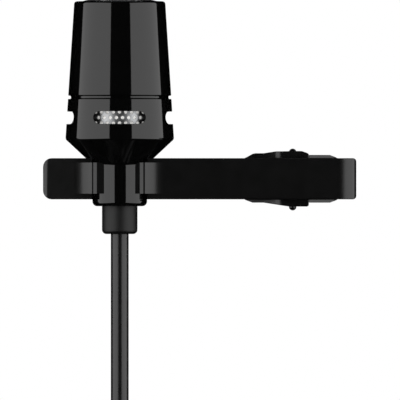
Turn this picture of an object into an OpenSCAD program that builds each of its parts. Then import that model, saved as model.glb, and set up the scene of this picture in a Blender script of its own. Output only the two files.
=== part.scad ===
// Lavalier microphone on a spring clip, with its cable, coil and small plug. Millimetres.
// The clip's bar runs along X, the microphone stands in its split ring along +Z, and the front faces -Y.
// The origin lies on the bar's grip face, straight behind the microphone's axis, at the bar's middle height.

/* [Microphone shell] */
// Outer radius of the shell at its top rim
rim_r = 5.18; // [5.0:0.02:5.4]
// Outer radius of the shell at its widest, above the cone
skirt_r = 6.19; // [6.0:0.01:6.6]
// Radius of the barrel that stands in the clip's ring
barrel_r = 3.12; // [3.0:0.02:3.3]
// Height of the barrel's upper end above the bar's middle
seat_h = 1.75; // [1.5:0.05:2.2]
// Depth of the barrel's lower end below the bar's middle
barrel_drop = 3.1; // [2.8:0.05:3.6]
// Slope of the cone between barrel and skirt, in degrees from the axis
cone_angle = 47; // [42:1:52]
// Height of the skirt, from the cone to the groove
skirt_h = 4.54; // [4.3:0.02:5.2]
// Height of the groove between skirt and cap
groove_h = 0.37; // [0.25:0.01:0.5]
// Depth of the groove
groove_depth = 0.42; // [0.3:0.02:0.5]
// Height of the front cap
cap_h = 10.88; // [10.4:0.02:12]
// Wall of the cap at its rim
rim_wall = 0.38; // [0.3:0.02:0.45]
// Wall of the skirt round the rear chamber
skirt_wall = 0.95; // [0.8:0.05:1.05]
// Wall of the barrel
barrel_wall = 0.67; // [0.55:0.02:0.8]
// Rounding of the rim's outer edge
rim_edge = 0.32; // [0.15:0.01:0.35]
// Rounding where the skirt meets the cone
skirt_edge = 0.4; // [0.2:0.05:0.6]
// Rounding of the barrel's lower edge
foot_edge = 0.55; // [0.3:0.05:0.6]
// Rounding of the edges beside the groove
groove_edge = 0.1; // [0.05:0.01:0.15]
// Thickness of the lip that holds the grille
lip_t = 0.5; // [0.4:0.05:0.8]
// Width of the lip's top land, from the opening to the rounded edge
lip_land = 0.44; // [0.35:0.01:0.48]
// Height of the spigot on which the cap is pressed
spigot_h = 1.6; // [1.3:0.05:2.0]
// Height of the rear chamber's floor above the cone
chamber_rise = 0.7; // [0.5:0.05:0.9]
// Height of the throat's lower end above the barrel
throat_rise = 0.9; // [0.7:0.05:1.2]

/* [Rear ports] */
// Number of slots round the skirt
port_count = 4; // [3:1:4]
// Length of a slot, seen straight on
port_w = 6.0; // [5.2:0.1:6.2]
// Height of a slot
port_h = 1.45; // [1.2:0.05:1.7]
// Height of the slots' middle above the cone
port_rise = 2.4; // [2.2:0.05:2.6]
// Thickness of the perforated screen
screen_t = 0.2; // [0.15:0.01:0.25]
// Radius of a hole in the screen
screen_hole_r = 0.2; // [0.15:0.01:0.24]
// Distance between holes in a row of the screen
screen_pitch = 0.72; // [0.68:0.02:0.9]
// Thickness of the acoustic felt
felt_t = 0.3; // [0.2:0.05:0.4]

/* [Grille and foam] */
// Height of the grille's dome
dome_h = 0.6; // [0.4:0.05:0.9]
// Thickness of the grille's sheet
grille_t = 0.2; // [0.15:0.01:0.25]
// Radius of a hole in the grille
grille_hole_r = 0.28; // [0.2:0.01:0.3]
// Distance between holes in the grille
grille_pitch = 0.95; // [0.85:0.05:1.1]
// Gap between the foam's side and the cap
foam_gap = 0.1; // [0.05:0.05:0.3]

/* [Capsule] */
// Wall of the carrier round the capsule
carrier_wall = 0.25; // [0.2:0.01:0.3]
// Thickness of the carrier's flange
flange_t = 0.45; // [0.35:0.05:0.6]
// Thickness of the carrier's lip under the can
carrier_lip = 0.4; // [0.3:0.05:0.5]
// Width of the carrier's lip under the can
carrier_ledge = 0.45; // [0.3:0.05:0.6]
// Height of the carrier's sleeve above its flange
sleeve_h = 4.2; // [3.6:0.1:4.6]
// Height of the can
can_h = 5.2; // [5.0:0.1:5.6]
// Wall of the can
can_wall = 0.25; // [0.2:0.01:0.3]
// Thickness of the can's face
can_face = 0.3; // [0.2:0.05:0.4]
// Radius of a sound hole in the can's face
can_hole_r = 0.4; // [0.3:0.05:0.5]
// Height of the diaphragm's ring
ring_h = 0.45; // [0.35:0.05:0.6]
// Width of the diaphragm's ring and of the spacer
ring_w = 0.75; // [0.5:0.05:0.9]
// Thickness of the diaphragm
film_t = 0.05; // [0.04:0.01:0.08]
// Thickness of the spacer ring
spacer_t = 0.1; // [0.08:0.01:0.15]
// Thickness of the backplate
plate_t = 0.5; // [0.4:0.05:0.6]
// Radius of a hole in the backplate
plate_hole_r = 0.25; // [0.15:0.05:0.35]
// Thickness of the can's crimped edge
crimp_t = 0.2; // [0.15:0.05:0.3]
// Width of the can's crimped edge
crimp_w = 0.7; // [0.5:0.05:0.9]
// Thickness of the circuit board
board_t = 0.6; // [0.5:0.05:0.8]
// Radius of a vent in the circuit board
vent_r = 0.35; // [0.2:0.05:0.45]
// Radius of a solder pad
pad_r = 0.5; // [0.4:0.05:0.6]
// Height of a solder pad
pad_t = 0.25; // [0.15:0.05:0.3]
// Radius of the circle of solder pads
pad_ring = 1.6; // [1.4:0.1:1.8]
// Length of the transistor
chip_l = 1.5; // [1.2:0.1:2.0]
// Width of the transistor
chip_w = 1.1; // [0.9:0.1:1.3]
// Height of the transistor
chip_h = 0.6; // [0.4:0.1:0.9]
// Wall of the insulating cup
cup_wall = 0.4; // [0.3:0.05:0.5]
// Width of the cup's ledge under the backplate
cup_ledge = 0.5; // [0.3:0.05:0.8]
// Height of the rubber gasket on the can
gasket_h = 0.5; // [0.4:0.05:0.7]
// Width of the rubber gasket
gasket_w = 0.9; // [0.6:0.1:1.2]
// Radius of a lead wire
lead_r = 0.3; // [0.2:0.02:0.34]

/* [Cable and strain boot] */
// Diameter of the cable
cord_d = 2.05; // [1.9:0.01:2.1]
// Radius of the boot below the barrel
boot_r = 2.04; // [1.9:0.02:2.15]
// Length of the boot below the barrel
boot_len = 3.2; // [2.6:0.1:4.5]
// Rounding of the boot's lower edge
boot_edge = 0.35; // [0.2:0.05:0.5]
// Thickness of the barrel's inner lip, under the boot's flange
barrel_lip = 0.6; // [0.5:0.05:0.8]
// Thickness of the boot's flange
boot_flange = 0.8; // [0.6:0.05:1.0]
// Length of the crimp sleeve on the cable
crimp_len = 1.9; // [1.5:0.1:2.1]
// Wall of the crimp sleeve
crimp_wall = 0.4; // [0.3:0.05:0.5]
// Length of cable that stands out of the crimp sleeve
cable_stub = 0.4; // [0.2:0.1:0.6]

/* [Clip bar] */
// Distance from the microphone's axis to the bar's jaw end
jaw_reach = 8.8; // [8.4:0.1:11]
// Distance from the microphone's axis to the bar's thumb end
tail_reach = 27.2; // [26.8:0.1:29]
// Height of the bar
bar_h = 4.73; // [4.6:0.01:5.2]
// Distance from the grip face to the microphone's axis
axis_depth = 4.3; // [4.2:0.05:5]
// Distance from the microphone's axis to the bar's front
face_ahead = 2.0; // [1.8:0.05:2.4]
// Rounding of the bar's corners at the jaw end
end_corner = 1.0; // [0.4:0.05:1.2]
// Rounding of the bar's front edge at the jaw end
end_edge = 0.9; // [0.4:0.05:1.2]
// Rounding of the bar's front edge at the thumb end
tail_edge = 1.67; // [1.0:0.01:2.0]
// Rounding of the bar's other corners
bar_edge = 0.4; // [0.15:0.05:0.5]
// Wall of the bar above and below its channel
bar_wall = 0.9; // [0.8:0.05:1.0]
// Wall of the bar in front of its channel
bar_front = 1.2; // [1.0:0.05:1.5]
// Distance from the microphone's axis to the channel
channel_start = 6.2; // [5.6:0.1:8]
// Wall of the bar at its thumb end
tail_wall = 1.0; // [0.8:0.1:1.5]
// Gap between the barrel and the ring
ring_gap = 0.05; // [0.03:0.01:0.08]
// Top of the split ring above the bar's middle
ring_top = 1.86; // [1.6:0.02:1.95]
// Bottom of the split ring below the bar's middle
ring_drop = 1.71; // [1.5:0.01:1.9]
// Half the width of the ring's split
split_half = 1.84; // [1.6:0.02:2.0]
// Distance from the axis plane to the lips' flat
lip_flat_x = 2.5; // [2.3:0.05:2.7]
// Distance from the axis plane to the crest of the ring
crest_x = 3.15; // [3.0:0.05:3.4]
// Distance from the axis plane to the foot of the ramp
ramp_x = 4.65; // [4.4:0.05:5.6]
// Height of the crest over the bar's front
crest_h = 1.0; // [0.9:0.05:1.2]
// Height of the lips' flat over the bar's front
lip_flat_h = 0.7; // [0.6:0.05:0.9]
// Number of grip grooves in the bar's jaw face
grip_count = 5; // [3:1:6]
// Distance between grip grooves
grip_pitch = 0.7; // [0.6:0.05:0.75]
// Depth of a grip groove
grip_depth = 0.25; // [0.15:0.05:0.3]

/* [Jaw lever, pin and spring] */
// Distance from the bar's thumb end to the pivot pin
pivot_inset = 7.3; // [6.8:0.1:8]
// Distance from the grip face to the pivot pin
pivot_depth = 2.6; // [2.5:0.05:2.8]
// Radius of the pivot pin
pin_r = 0.43; // [0.4:0.01:0.5]
// Reach of the pin's upper end above the bar's middle
pin_up = 3.48; // [3.35:0.01:3.9]
// Reach of the pin's lower end below the bar's middle
pin_down = 3.64; // [3.4:0.01:3.9]
// Gap round the pin in the ears
pin_gap = 0.03; // [0.02:0.01:0.06]
// Thickness of the lever's sheet
lever_t = 0.6; // [0.5:0.05:0.8]
// Gap between the bar's sides and the lever's ears
ear_gap = 0.05; // [0.04:0.01:0.1]
// Thickness of an ear
ear_t = 0.33; // [0.3:0.01:0.42]
// Height of the knuckle on an ear
knuckle_h = 0.45; // [0.35:0.01:0.5]
// Distance from the pin to the knuckle's thin end
knuckle_front = 3.4; // [2.5:0.1:4]
// Distance from the pin to the knuckle's thick end
knuckle_back = 1.85; // [1.2:0.05:2.2]
// Distance from the pin to the ears' front end
ear_front = 5.5; // [5.2:0.1:6]
// Length of the slanted corners at an ear's ends
ear_slope = 0.9; // [0.6:0.1:1.4]
// Distance from the pin to the lever's bend before the thumb tab
tab_start = 2.9; // [2.5:0.1:3.2]
// Distance from the pin to the thumb tab's end
tab_len = 5.2; // [4.8:0.1:6]
// Slope of the thumb tab away from the bar, in degrees
tab_angle = 16; // [15:1:20]
// Number of ribs across the thumb tab
rib_count = 3; // [2:1:3]
// Distance between the thumb tab's ribs
rib_pitch = 1.1; // [0.8:0.1:1.2]
// Radius of a rib
rib_r = 0.22; // [0.15:0.01:0.28]
// Distance between the grip face and the lever's arm
throat = 1.2; // [1.1:0.05:1.5]
// Gap between the jaw's tip and the grip face at rest
jaw_gap = 0.15; // [0.1:0.05:0.25]
// Length of the jaw's toothed tip
jaw_len = 3.6; // [3.4:0.1:4]
// Distance from the bar's jaw end to the jaw's tip
jaw_inset = 0.4; // [0.2:0.1:0.6]
// Half the height of the lever's arm
arm_half = 2.0; // [1.7:0.05:2.2]
// Diameter of the spring's wire
spring_wire = 0.4; // [0.3:0.02:0.42]
// Mean radius of the spring's coils
spring_r = 1.15; // [1.1:0.05:1.3]
// Clearance between the spring and the channel's walls
spring_clear = 0.09; // [0.06:0.01:0.15]
// Number of turns of the spring, its legs counted in
spring_turns = 3; // [2:1:3]

/* [Coil, tie and tail] */
// Depth below the bar at which the cable turns into its coil
coil_entry = 26; // [25:0.5:34]
// Radius of the coil at the middle of its turns
coil_r = 12; // [11:0.5:12.3]
// Distance between neighbouring turns and layers
turn_pitch = 2.55; // [2.53:0.01:2.7]
// Number of whole turns round the coil
turn_count = 15; // [11:1:15]
// Turn of the bends into and out of the coil, in degrees
lead_angle = 75; // [74:1:78]
// Width of the tie
tie_w = 4.5; // [3.5:0.5:5]
// Thickness of the tie
tie_t = 0.8; // [0.6:0.1:1.2]
// Place of the tie round the coil, in degrees
tie_angle = 118; // [112:1:170]
// Length of the cable's tail between the coil and the plug
tail_len = 7; // [6:0.5:20]

/* [Plug] */
// Length of the plug's relief outside its nut
relief_len = 12; // [10:0.5:16]
// Radius of the relief's thin end
relief_tip_r = 2.0; // [1.8:0.05:2.3]
// Radius of the relief at the nut
relief_base_r = 3.3; // [3.0:0.1:3.5]
// Number of ring grooves in the relief
relief_rings = 4; // [2:1:5]
// Width of a ring groove
relief_slot = 0.8; // [0.5:0.1:1.0]
// Depth of a ring groove
relief_cut = 0.5; // [0.3:0.05:0.6]
// Thickness of the relief's foot under the nut's cover
relief_foot = 1.2; // [0.8:0.1:1.6]
// Length of the nut
nut_len = 6; // [5.5:0.5:8]
// Radius of the nut
nut_r = 5.0; // [4.9:0.05:5.2]
// Thickness of the nut's cover
nut_cover = 1.0; // [0.7:0.1:1.3]
// Length of the nut's spigot in the shell
nut_spigot = 2.5; // [2:0.1:2.6]
// Wall of the nut's spigot
spigot_wall = 0.57; // [0.4:0.01:0.6]
// Number of grip flutes round the nut
flute_count = 12; // [8:1:16]
// Radius of a grip flute
flute_r = 0.6; // [0.4:0.05:0.8]
// Depth of a grip flute
flute_depth = 0.25; // [0.15:0.05:0.35]
// Length of the shell's grip part
shell_len = 12; // [11.5:0.5:15]
// Radius of the shell's grip part
shell_r = 5.3; // [5.2:0.05:5.6]
// Wall of the shell's grip part
shell_wall = 0.6; // [0.5:0.02:0.64]
// Length of the shell's nose
nose_len = 9; // [8:0.5:11]
// Radius of the shell's nose
nose_r = 4.55; // [4.5:0.05:4.7]
// Wall of the nose
nose_wall = 0.5; // [0.4:0.05:0.6]
// Depth of the insert's face inside the nose
face_depth = 0.6; // [0.4:0.1:1.2]
// Length of the insert inside the shell's grip part
insert_rise = 2.5; // [2:0.1:2.6]
// Number of contacts
contact_count = 4; // [3:1:4]
// Radius of the circle of contacts
contact_ring = 2.2; // [2.1:0.05:2.3]
// Radius of a contact's bore
contact_bore = 0.47; // [0.4:0.01:0.5]
// Wall of a contact
contact_wall = 0.2; // [0.15:0.01:0.25]
// Depth of a contact's mouth behind the insert's face
contact_depth = 0.8; // [0.5:0.1:1.2]
// Length of a contact's bore
contact_reach = 6; // [5:0.5:8]
// Length of a contact's solder cup outside the insert
cup_len = 1.4; // [1:0.1:1.8]
// Radius of the cable clamp
clamp_r = 2.8; // [2.4:0.1:3.2]
// Thickness of the cable clamp's flange
clamp_flange = 1.0; // [0.6:0.1:1.4]
// Width of the latch's button
button_w = 3.0; // [2.6:0.1:3.4]
// Length of the latch's button
button_l = 5.4; // [5:0.1:6]
// Height of the button over the shell
button_rise = 0.9; // [0.85:0.05:1.1]
// Travel of the latch
latch_travel = 0.6; // [0.4:0.05:0.65]
// Thickness of the latch's flange and of its tongue
latch_t = 0.5; // [0.4:0.05:0.55]
// Width of the latch's tongue
tongue_w = 1.2; // [1:0.1:1.4]
// Distance from the nose's shoulder to the latch's hook
hook_drop = 3; // [2.5:0.1:3.5]
// Height of the latch's hook
hook_h = 1.6; // [1.2:0.1:2.0]
// Diameter of the latch spring's wire
latch_wire = 0.2; // [0.14:0.02:0.2]
// Mean radius of the latch spring
latch_coil_r = 0.5; // [0.4:0.05:0.6]
// Number of turns of the latch spring
latch_turns = 2; // [1:1:2]
// Length of the latch spring at rest
latch_spring_len = 1.35; // [1.3:0.01:1.4]

/* [Hidden] */
$fn = 96;

eps = 0.01;   // overlap that joins two shapes of one piece
fit = 0.03;   // clearance between two fitted pieces
cut = 1;      // how far a cutter runs past the face it opens
axis_y = -axis_depth;
cord_r = cord_d / 2;
cord_bore = cord_r + 0.02;

// Heights of the shell, from the barrel up
barrel_lo = -barrel_drop;
cone_lo = seat_h;
cone_hi = cone_lo + (skirt_r - barrel_r) / tan(cone_angle);
split_lo = cone_hi + skirt_h;
split_hi = split_lo + groove_h;
head_top = split_hi + cap_h;
spigot_top = split_hi + spigot_h;
shoulder_z = spigot_top + flange_t;
lip_lo = head_top - lip_t;
chamber_lo = cone_hi + chamber_rise;
throat_z = cone_lo + throat_rise;
port_z = cone_hi + port_rise;
boot_lo = barrel_lo - boot_len;
boot_seat = barrel_lo + barrel_lip;
boot_top = boot_seat + boot_flange;
crimp_lo = boot_top + fit;
core_top = crimp_lo + crimp_len + cable_stub;

// Radii of the shell, whose side tapers evenly from the skirt to the rim
function shell_side(z) = skirt_r - (z - cone_hi) * (skirt_r - rim_r) / (head_top - cone_hi);
spigot_r = shell_side(split_lo) - groove_depth;
counter_r = spigot_r + fit;
cap_bore = rim_r - rim_wall;
rim_open_r = rim_r - rim_edge - lip_land;
chamber_r = shell_side(split_lo) - skirt_wall;
screen_r = chamber_r - fit;
felt_r = screen_r - screen_t - fit;
ledge_w = screen_t + felt_t + 4 * fit;
barrel_bore = barrel_r - barrel_wall;
boot_hole = boot_r + fit;

// The grille's dome is a cap of one ball
dome_r = rim_open_r - fit;
ball_r = (dome_r * dome_r + dome_h * dome_h) / (2 * dome_h);
ball_z = head_top + dome_h - ball_r;
grille_lo = lip_lo - grille_t;

// The capsule, from its crimped edge up
can_r = cap_bore - fit - carrier_wall - fit;
can_bore = can_r - can_wall;
inner_r = can_bore - fit;
crimp_open = can_r - crimp_w;
can_lo = spigot_top + carrier_lip;
can_hi = can_lo + can_h;
board_lo = can_lo + crimp_t;
board_hi = board_lo + board_t;
face_lo = can_hi - can_face;
film_hi = face_lo - ring_h;
film_lo = film_hi - film_t;
plate_hi = film_lo - spacer_t;
plate_lo = plate_hi - plate_t;
plate_r = inner_r - cup_wall;
gasket_hi = can_hi + gasket_h;
lead_ring = 0.6;   // radius at which the leads leave the cable

// The bar and its ring
bar_y = axis_y - face_ahead;
bar_half = bar_h / 2;
ring_r = barrel_r + ring_gap;
channel_half = bar_half - bar_wall;
channel_y = bar_y + bar_front;
grip_x = -jaw_reach + 0.8;

// The lever
pivot_y = -pivot_depth;
ear_in = bar_half + ear_gap;
ear_out = ear_in + ear_t;
pivot_x = tail_reach - pivot_inset;
ear_x0 = pivot_x - ear_front;
ear_x1 = pivot_x + tab_len;
tab_x = pivot_x - tab_start;
tab_y = throat + (ear_x1 - tab_x) * tan(tab_angle);
jaw_x = -jaw_reach + jaw_inset;

// The spring's legs both point towards the thumb end, one at the bar and one at the lever
leg_angle = 65;
leg_start = 90 - leg_angle;
leg_run = 360 * spring_turns - 2 * leg_start;
spring_pitch = 360 / leg_run * (2 * (channel_half - spring_clear) - spring_wire);
bar_leg = [spring_r * cos(leg_start), spring_r * sin(leg_start)];
bar_leg_len = (pivot_y + bar_leg[1] - channel_y - spring_wire / 2 - fit) / sin(leg_angle);
leg_slope = tan(leg_angle);
lever_leg_x = (throat - pivot_y + bar_leg[1] + (pivot_x - tab_x) * tan(tab_angle)
               - (spring_wire / 2 + fit) / cos(tab_angle) + bar_leg[0] * leg_slope)
              / (leg_slope - tan(tab_angle));
lever_leg_len = (lever_leg_x - bar_leg[0]) / cos(leg_angle);

// The coil hangs in the XZ plane; the cable comes straight down to it and leaves straight below
coil_layers = 4;
ring_steps = 24;
turns = turn_count + 2 * lead_angle / 360;
layer_turns = (turns - (coil_layers - 1) / 2) / coil_layers;
coil_out = coil_r + layer_turns * turn_pitch / 2;
coil_in = coil_r - layer_turns * turn_pitch / 2;
lead_bend = coil_out * cos(lead_angle) / (1 - cos(lead_angle));
lead_drop = (coil_out + lead_bend) * sin(lead_angle);
coil_z = -coil_entry - cord_d - lead_drop;
coil_exit = coil_z - lead_drop - cord_d;
tail_y = axis_y + (coil_layers - 1) * turn_pitch;
turn_swell = turn_pitch / 8;     // how far a turn swings out where the spiral reverses

// The plug, from its relief's thin end down
plug_top = coil_exit - tail_len;
nut_hi = plug_top - relief_len;
nut_lo = nut_hi - nut_len;
shell_lo = nut_lo - shell_len;
nose_lo = shell_lo - nose_len;
shell_bore = shell_r - shell_wall;
nut_bore = shell_bore - fit - spigot_wall;
nose_bore = nose_r - nose_wall;
clamp_hi = nut_hi - nut_cover - relief_foot;
clamp_lo = nut_lo - nut_spigot + spigot_wall;
insert_hi = shell_lo + insert_rise;
insert_lo = nose_lo + face_depth;
lead_lo = clamp_lo - cable_stub;
contact_r = contact_bore + contact_wall;
contact_hi = insert_hi + cup_len;
contact_lo = insert_lo + contact_depth;

// The latch slides towards the plug's axis, on a spring that stands on the insert's bridge
latch_z = (insert_hi + clamp_lo) / 2;
latch_gap = 0.05;    // clearance round the button and the hook
latch_rim = 0.5;     // how far the flange reaches past the button
latch_in = shell_bore - shell_wall - latch_t;
tongue_out = nose_bore - latch_travel / 2;
tongue_in = tongue_out - latch_t;
hook_z = shell_lo - hook_drop;
bridge_w = button_w / 2;
bridge_out = latch_in - latch_spring_len;
bridge_t = 0.45;

// The cable's straight stretches
drop_heights = [boot_lo, -10, -15, -20, -coil_entry];
drop_route = [for (z = drop_heights) [0, axis_y, z]];
tail_route = [[0, tail_y, coil_exit], [0, tail_y, coil_exit - tail_len / 2], [0, tail_y, plug_top]];

// ---- Outlines: each corner is [x, y] or [x, y, rounding] ----
function unit(v) = v / norm(v);
function wrap(a) = a > 180 ? a - 360 : a < -180 ? a + 360 : a;
function corner(a, b, c, r, n) =
    let (u = unit(a - b), v = unit(c - b), half = acos(max(-1, min(1, u * v))) / 2)
    let (mid = b + unit(u + v) * r / sin(half))
    let (p = b + u * r / tan(half) - mid, q = b + v * r / tan(half) - mid)
    let (from = atan2(p[1], p[0]), by = wrap(atan2(q[1], q[0]) - from))
    [for (i = [0:n]) mid + r * [cos(from + by * i / n), sin(from + by * i / n)]];
function xy(p) = [p[0], p[1]];
function outline(pts, n = 6) = [
    for (i = [0:len(pts) - 1])
        let (a = pts[(i + len(pts) - 1) % len(pts)], b = pts[i], c = pts[(i + 1) % len(pts)])
        for (p = len(b) > 2 ? corner(xy(a), xy(b), xy(c), b[2], n) : [b]) p
];
function flip_y(pts) = [for (i = [len(pts) - 1:-1:0]) [pts[i][0], -pts[i][1]]];

// ---- Tubes: rings of points along a path, in triangles ----
function ring_at(path, i, r, sides, up) =
    let (t = unit(path[min(i + 1, len(path) - 1)] - path[max(i - 1, 0)]))
    let (n = unit(cross(t, up)), b = cross(t, n))
    [for (s = [0:sides - 1]) path[i] + r * (cos(360 * s / sides) * n + sin(360 * s / sides) * b)];
function tube_side(i, s, sides) =
    let (a = i * sides + s, b = i * sides + (s + 1) % sides)
    [[a, b + sides, b], [a, a + sides, b + sides]];

module tube(path, r, sides, up) {
    last = (len(path) - 1) * sides;
    points = [for (i = [0:len(path) - 1]) for (p = ring_at(path, i, r, sides, up)) p];
    walls = [for (i = [0:len(path) - 2]) for (s = [0:sides - 1]) for (f = tube_side(i, s, sides)) f];
    caps = [for (s = [1:sides - 2]) for (f = [[0, s, s + 1], [last, last + s + 1, last + s]]) f];
    polyhedron(points, concat(walls, caps));
}

module rod(p, q, r) {
    v = q - p;
    translate(p)
        rotate([0, acos(v[2] / norm(v)), atan2(v[1], v[0])])
            cylinder(h = norm(v), r = r);
}

module ring(r_out, r_in, lo, hi) {
    translate([0, 0, lo])
        difference() {
            cylinder(h = hi - lo, r = r_out);
            translate([0, 0, -cut])
                cylinder(h = hi - lo + 2 * cut, r = r_in);
        }
}

module spread(count, radius, from = 0) {
    for (i = [0:count - 1])
        rotate([0, 0, from + 360 * i / count])
            translate([radius, 0, 0])
                children();
}

module at_mic() {
    translate([0, axis_y, 0])
        children();
}

module at_plug() {
    translate([0, tail_y, 0])
        children();
}

// A bar standing along X and Z with its outline drawn as seen from the front
module seen_from_front(y0, y1, pts) {
    translate([0, y1, 0])
        rotate([90, 0, 0])
            linear_extrude(y1 - y0)
                polygon(pts);
}

// ---- Microphone shell ----
module front_cap() {
    color([0.03, 0.03, 0.03])
        at_mic()
            rotate_extrude()
                polygon(outline([
                    [counter_r, split_hi],
                    [shell_side(split_hi), split_hi, groove_edge],
                    [rim_r, head_top, rim_edge],
                    [rim_open_r, head_top],
                    [rim_open_r, lip_lo],
                    [cap_bore, lip_lo],
                    [cap_bore, shoulder_z],
                    [counter_r, shoulder_z]
                ]));
}

module grille_hole() {
    translate([0, 0, grille_lo - cut])
        cylinder(h = lip_t + dome_h + 3 * cut, r = grille_hole_r);
}

module top_grille() {
    rows = floor(dome_r / grille_pitch) + 1;
    reach = dome_r - grille_t - grille_hole_r - 0.1;
    color([0.62, 0.62, 0.62])
        at_mic()
            difference() {
                union() {
                    ring(cap_bore - fit, dome_r - grille_t, grille_lo, lip_lo);
                    ring(dome_r, dome_r - grille_t, grille_lo, head_top + eps);
                    intersection() {
                        translate([0, 0, head_top])
                            cylinder(h = dome_h + cut, r = dome_r);
                        translate([0, 0, ball_z])
                            sphere(ball_r);
                    }
                }
                translate([0, 0, ball_z])
                    sphere(ball_r - grille_t);
                for (j = [-rows:rows])
                    for (i = [-rows:rows])
                        let (p = grille_pitch * [i + abs(j % 2) / 2, j * sqrt(3) / 2])
                        if (norm(p) < reach)
                            translate([p[0], p[1], 0])
                                grille_hole();
            }
}

module grille_foam() {
    color([0.12, 0.12, 0.12])
        at_mic() {
            translate([0, 0, gasket_hi])
                cylinder(h = grille_lo - gasket_hi, r = cap_bore - foam_gap);
            translate([0, 0, grille_lo - eps])
                cylinder(h = head_top - grille_lo, r = dome_r - grille_t - foam_gap);
        }
}

module port_slot() {
    run = (port_w - port_h) / 2;
    rotate([0, 90, 0]) {
        for (y = [-run, run])
            translate([0, y, 0])
                cylinder(h = skirt_r, r = port_h / 2);
        translate([-port_h / 2, -run, 0])
            cube([port_h, 2 * run, skirt_r]);
    }
}

module port_housing() {
    color([0.03, 0.03, 0.03])
        at_mic()
            difference() {
                rotate_extrude()
                    polygon(outline([
                        [boot_hole, barrel_lo],
                        [barrel_r, barrel_lo, foot_edge],
                        [barrel_r, cone_lo],
                        [skirt_r, cone_hi, skirt_edge],
                        [shell_side(split_lo), split_lo, groove_edge],
                        [spigot_r, split_lo],
                        [spigot_r, spigot_top],
                        [chamber_r, spigot_top],
                        [chamber_r, chamber_lo],
                        [chamber_r - ledge_w, chamber_lo],
                        [barrel_bore, throat_z],
                        [barrel_bore, boot_seat],
                        [boot_hole, boot_seat]
                    ]));
                translate([0, 0, port_z])
                    spread(port_count, chamber_r - cut, -90)
                        port_slot();
            }
}

module port_screen() {
    half_view = asin(min(0.95, port_w / 2 / screen_r));
    step = 360 * screen_pitch / (2 * PI * screen_r);
    reach = floor(half_view / step);
    color([0.6, 0.6, 0.6])
        at_mic()
            difference() {
                ring(screen_r, screen_r - screen_t, chamber_lo, split_lo - 0.1);
                for (row = [-1:1])
                    for (i = [-reach:reach - 1 + abs(row)])
                        let (turn = (i + (1 - abs(row)) / 2) * step)
                        translate([0, 0, port_z + row * screen_pitch * sqrt(3) / 2])
                            spread(port_count, screen_r - 2 * screen_t, turn - 90)
                                rotate([0, 90, 0])
                                    cylinder(h = 3 * screen_t, r = screen_hole_r, $fn = 24);
            }
}

module port_felt() {
    color([0.85, 0.85, 0.82])
        at_mic()
            ring(felt_r, felt_r - felt_t, chamber_lo, split_lo - 0.1);
}

// ---- Capsule ----
module capsule_carrier() {
    color([0.18, 0.18, 0.2])
        at_mic()
            rotate_extrude()
                polygon([
                    [can_r - carrier_ledge, spigot_top],
                    [counter_r - fit, spigot_top],
                    [counter_r - fit, shoulder_z],
                    [cap_bore - fit, shoulder_z],
                    [cap_bore - fit, shoulder_z + sleeve_h],
                    [can_r + fit, shoulder_z + sleeve_h],
                    [can_r + fit, can_lo],
                    [can_r - carrier_ledge, can_lo]
                ]);
}

module front_gasket() {
    color([0.1, 0.1, 0.1])
        at_mic()
            ring(can_r, can_r - gasket_w, can_hi, gasket_hi);
}

module capsule_can() {
    color([0.75, 0.76, 0.78])
        at_mic()
            difference() {
                rotate_extrude()
                    polygon(outline([
                        [crimp_open, can_lo],
                        [can_r, can_lo, 0.1],
                        [can_r, can_hi, 0.15],
                        [0, can_hi],
                        [0, face_lo],
                        [can_bore, face_lo],
                        [can_bore, board_lo],
                        [crimp_open, board_lo]
                    ]));
                translate([0, 0, face_lo - cut]) {
                    cylinder(h = can_face + 2 * cut, r = can_hole_r);
                    spread(6, can_r / 2)
                        cylinder(h = can_face + 2 * cut, r = can_hole_r);
                }
            }
}

module diaphragm_ring() {
    color([0.8, 0.65, 0.3])
        at_mic()
            ring(inner_r, inner_r - ring_w, film_hi, face_lo);
}

module diaphragm() {
    color([0.85, 0.8, 0.6])
        at_mic()
            translate([0, 0, film_lo])
                cylinder(h = film_t, r = inner_r);
}

module spacer_ring() {
    color([0.9, 0.9, 0.9])
        at_mic()
            ring(inner_r, inner_r - ring_w, plate_hi, film_lo);
}

module backplate() {
    color([0.8, 0.7, 0.4])
        at_mic()
            difference() {
                translate([0, 0, plate_lo])
                    cylinder(h = plate_t, r = plate_r);
                translate([0, 0, plate_lo - cut])
                    spread(8, plate_r * 0.6)
                        cylinder(h = plate_t + 2 * cut, r = plate_hole_r);
            }
}

module capsule_cup() {
    color([0.92, 0.92, 0.9])
        at_mic()
            rotate_extrude()
                polygon([
                    [plate_r - cup_ledge, board_hi],
                    [inner_r, board_hi],
                    [inner_r, plate_hi],
                    [plate_r + fit, plate_hi],
                    [plate_r + fit, plate_lo],
                    [plate_r - cup_ledge, plate_lo]
                ]);
}

module capsule_board() {
    color([0.1, 0.35, 0.2])
        at_mic() {
            difference() {
                translate([0, 0, board_lo])
                    cylinder(h = board_t, r = inner_r);
                translate([0, 0, board_lo - cut])
                    spread(3, plate_r * 0.75, 30)
                        cylinder(h = board_t + 2 * cut, r = vent_r);
            }
            spread(3, pad_ring, 90)
                translate([0, 0, board_lo - pad_t])
                    cylinder(h = pad_t + eps, r = pad_r);
        }
}

module transistor() {
    leg = [0.2, 0.4, 0.15];
    color([0.15, 0.15, 0.15])
        at_mic() {
            translate([-chip_l / 2, -chip_w / 2, board_hi])
                cube([chip_l, chip_w, chip_h]);
            for (p = [[-chip_l / 3, 1], [chip_l / 3, 1], [0, -1]])
                translate([p[0] - leg[0] / 2, p[1] * chip_w / 2 - leg[1] / 2, board_hi])
                    cube(leg);
        }
}

module lead_wires() {
    color([0.75, 0.2, 0.15])
        at_mic()
            for (a = [90, 210, 330])
                rotate([0, 0, a])
                    rod(
                        [lead_ring, 0, core_top + lead_r],
                        [pad_ring, 0, board_lo - pad_t - lead_r / 2],
                        lead_r
                    );
}

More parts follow.
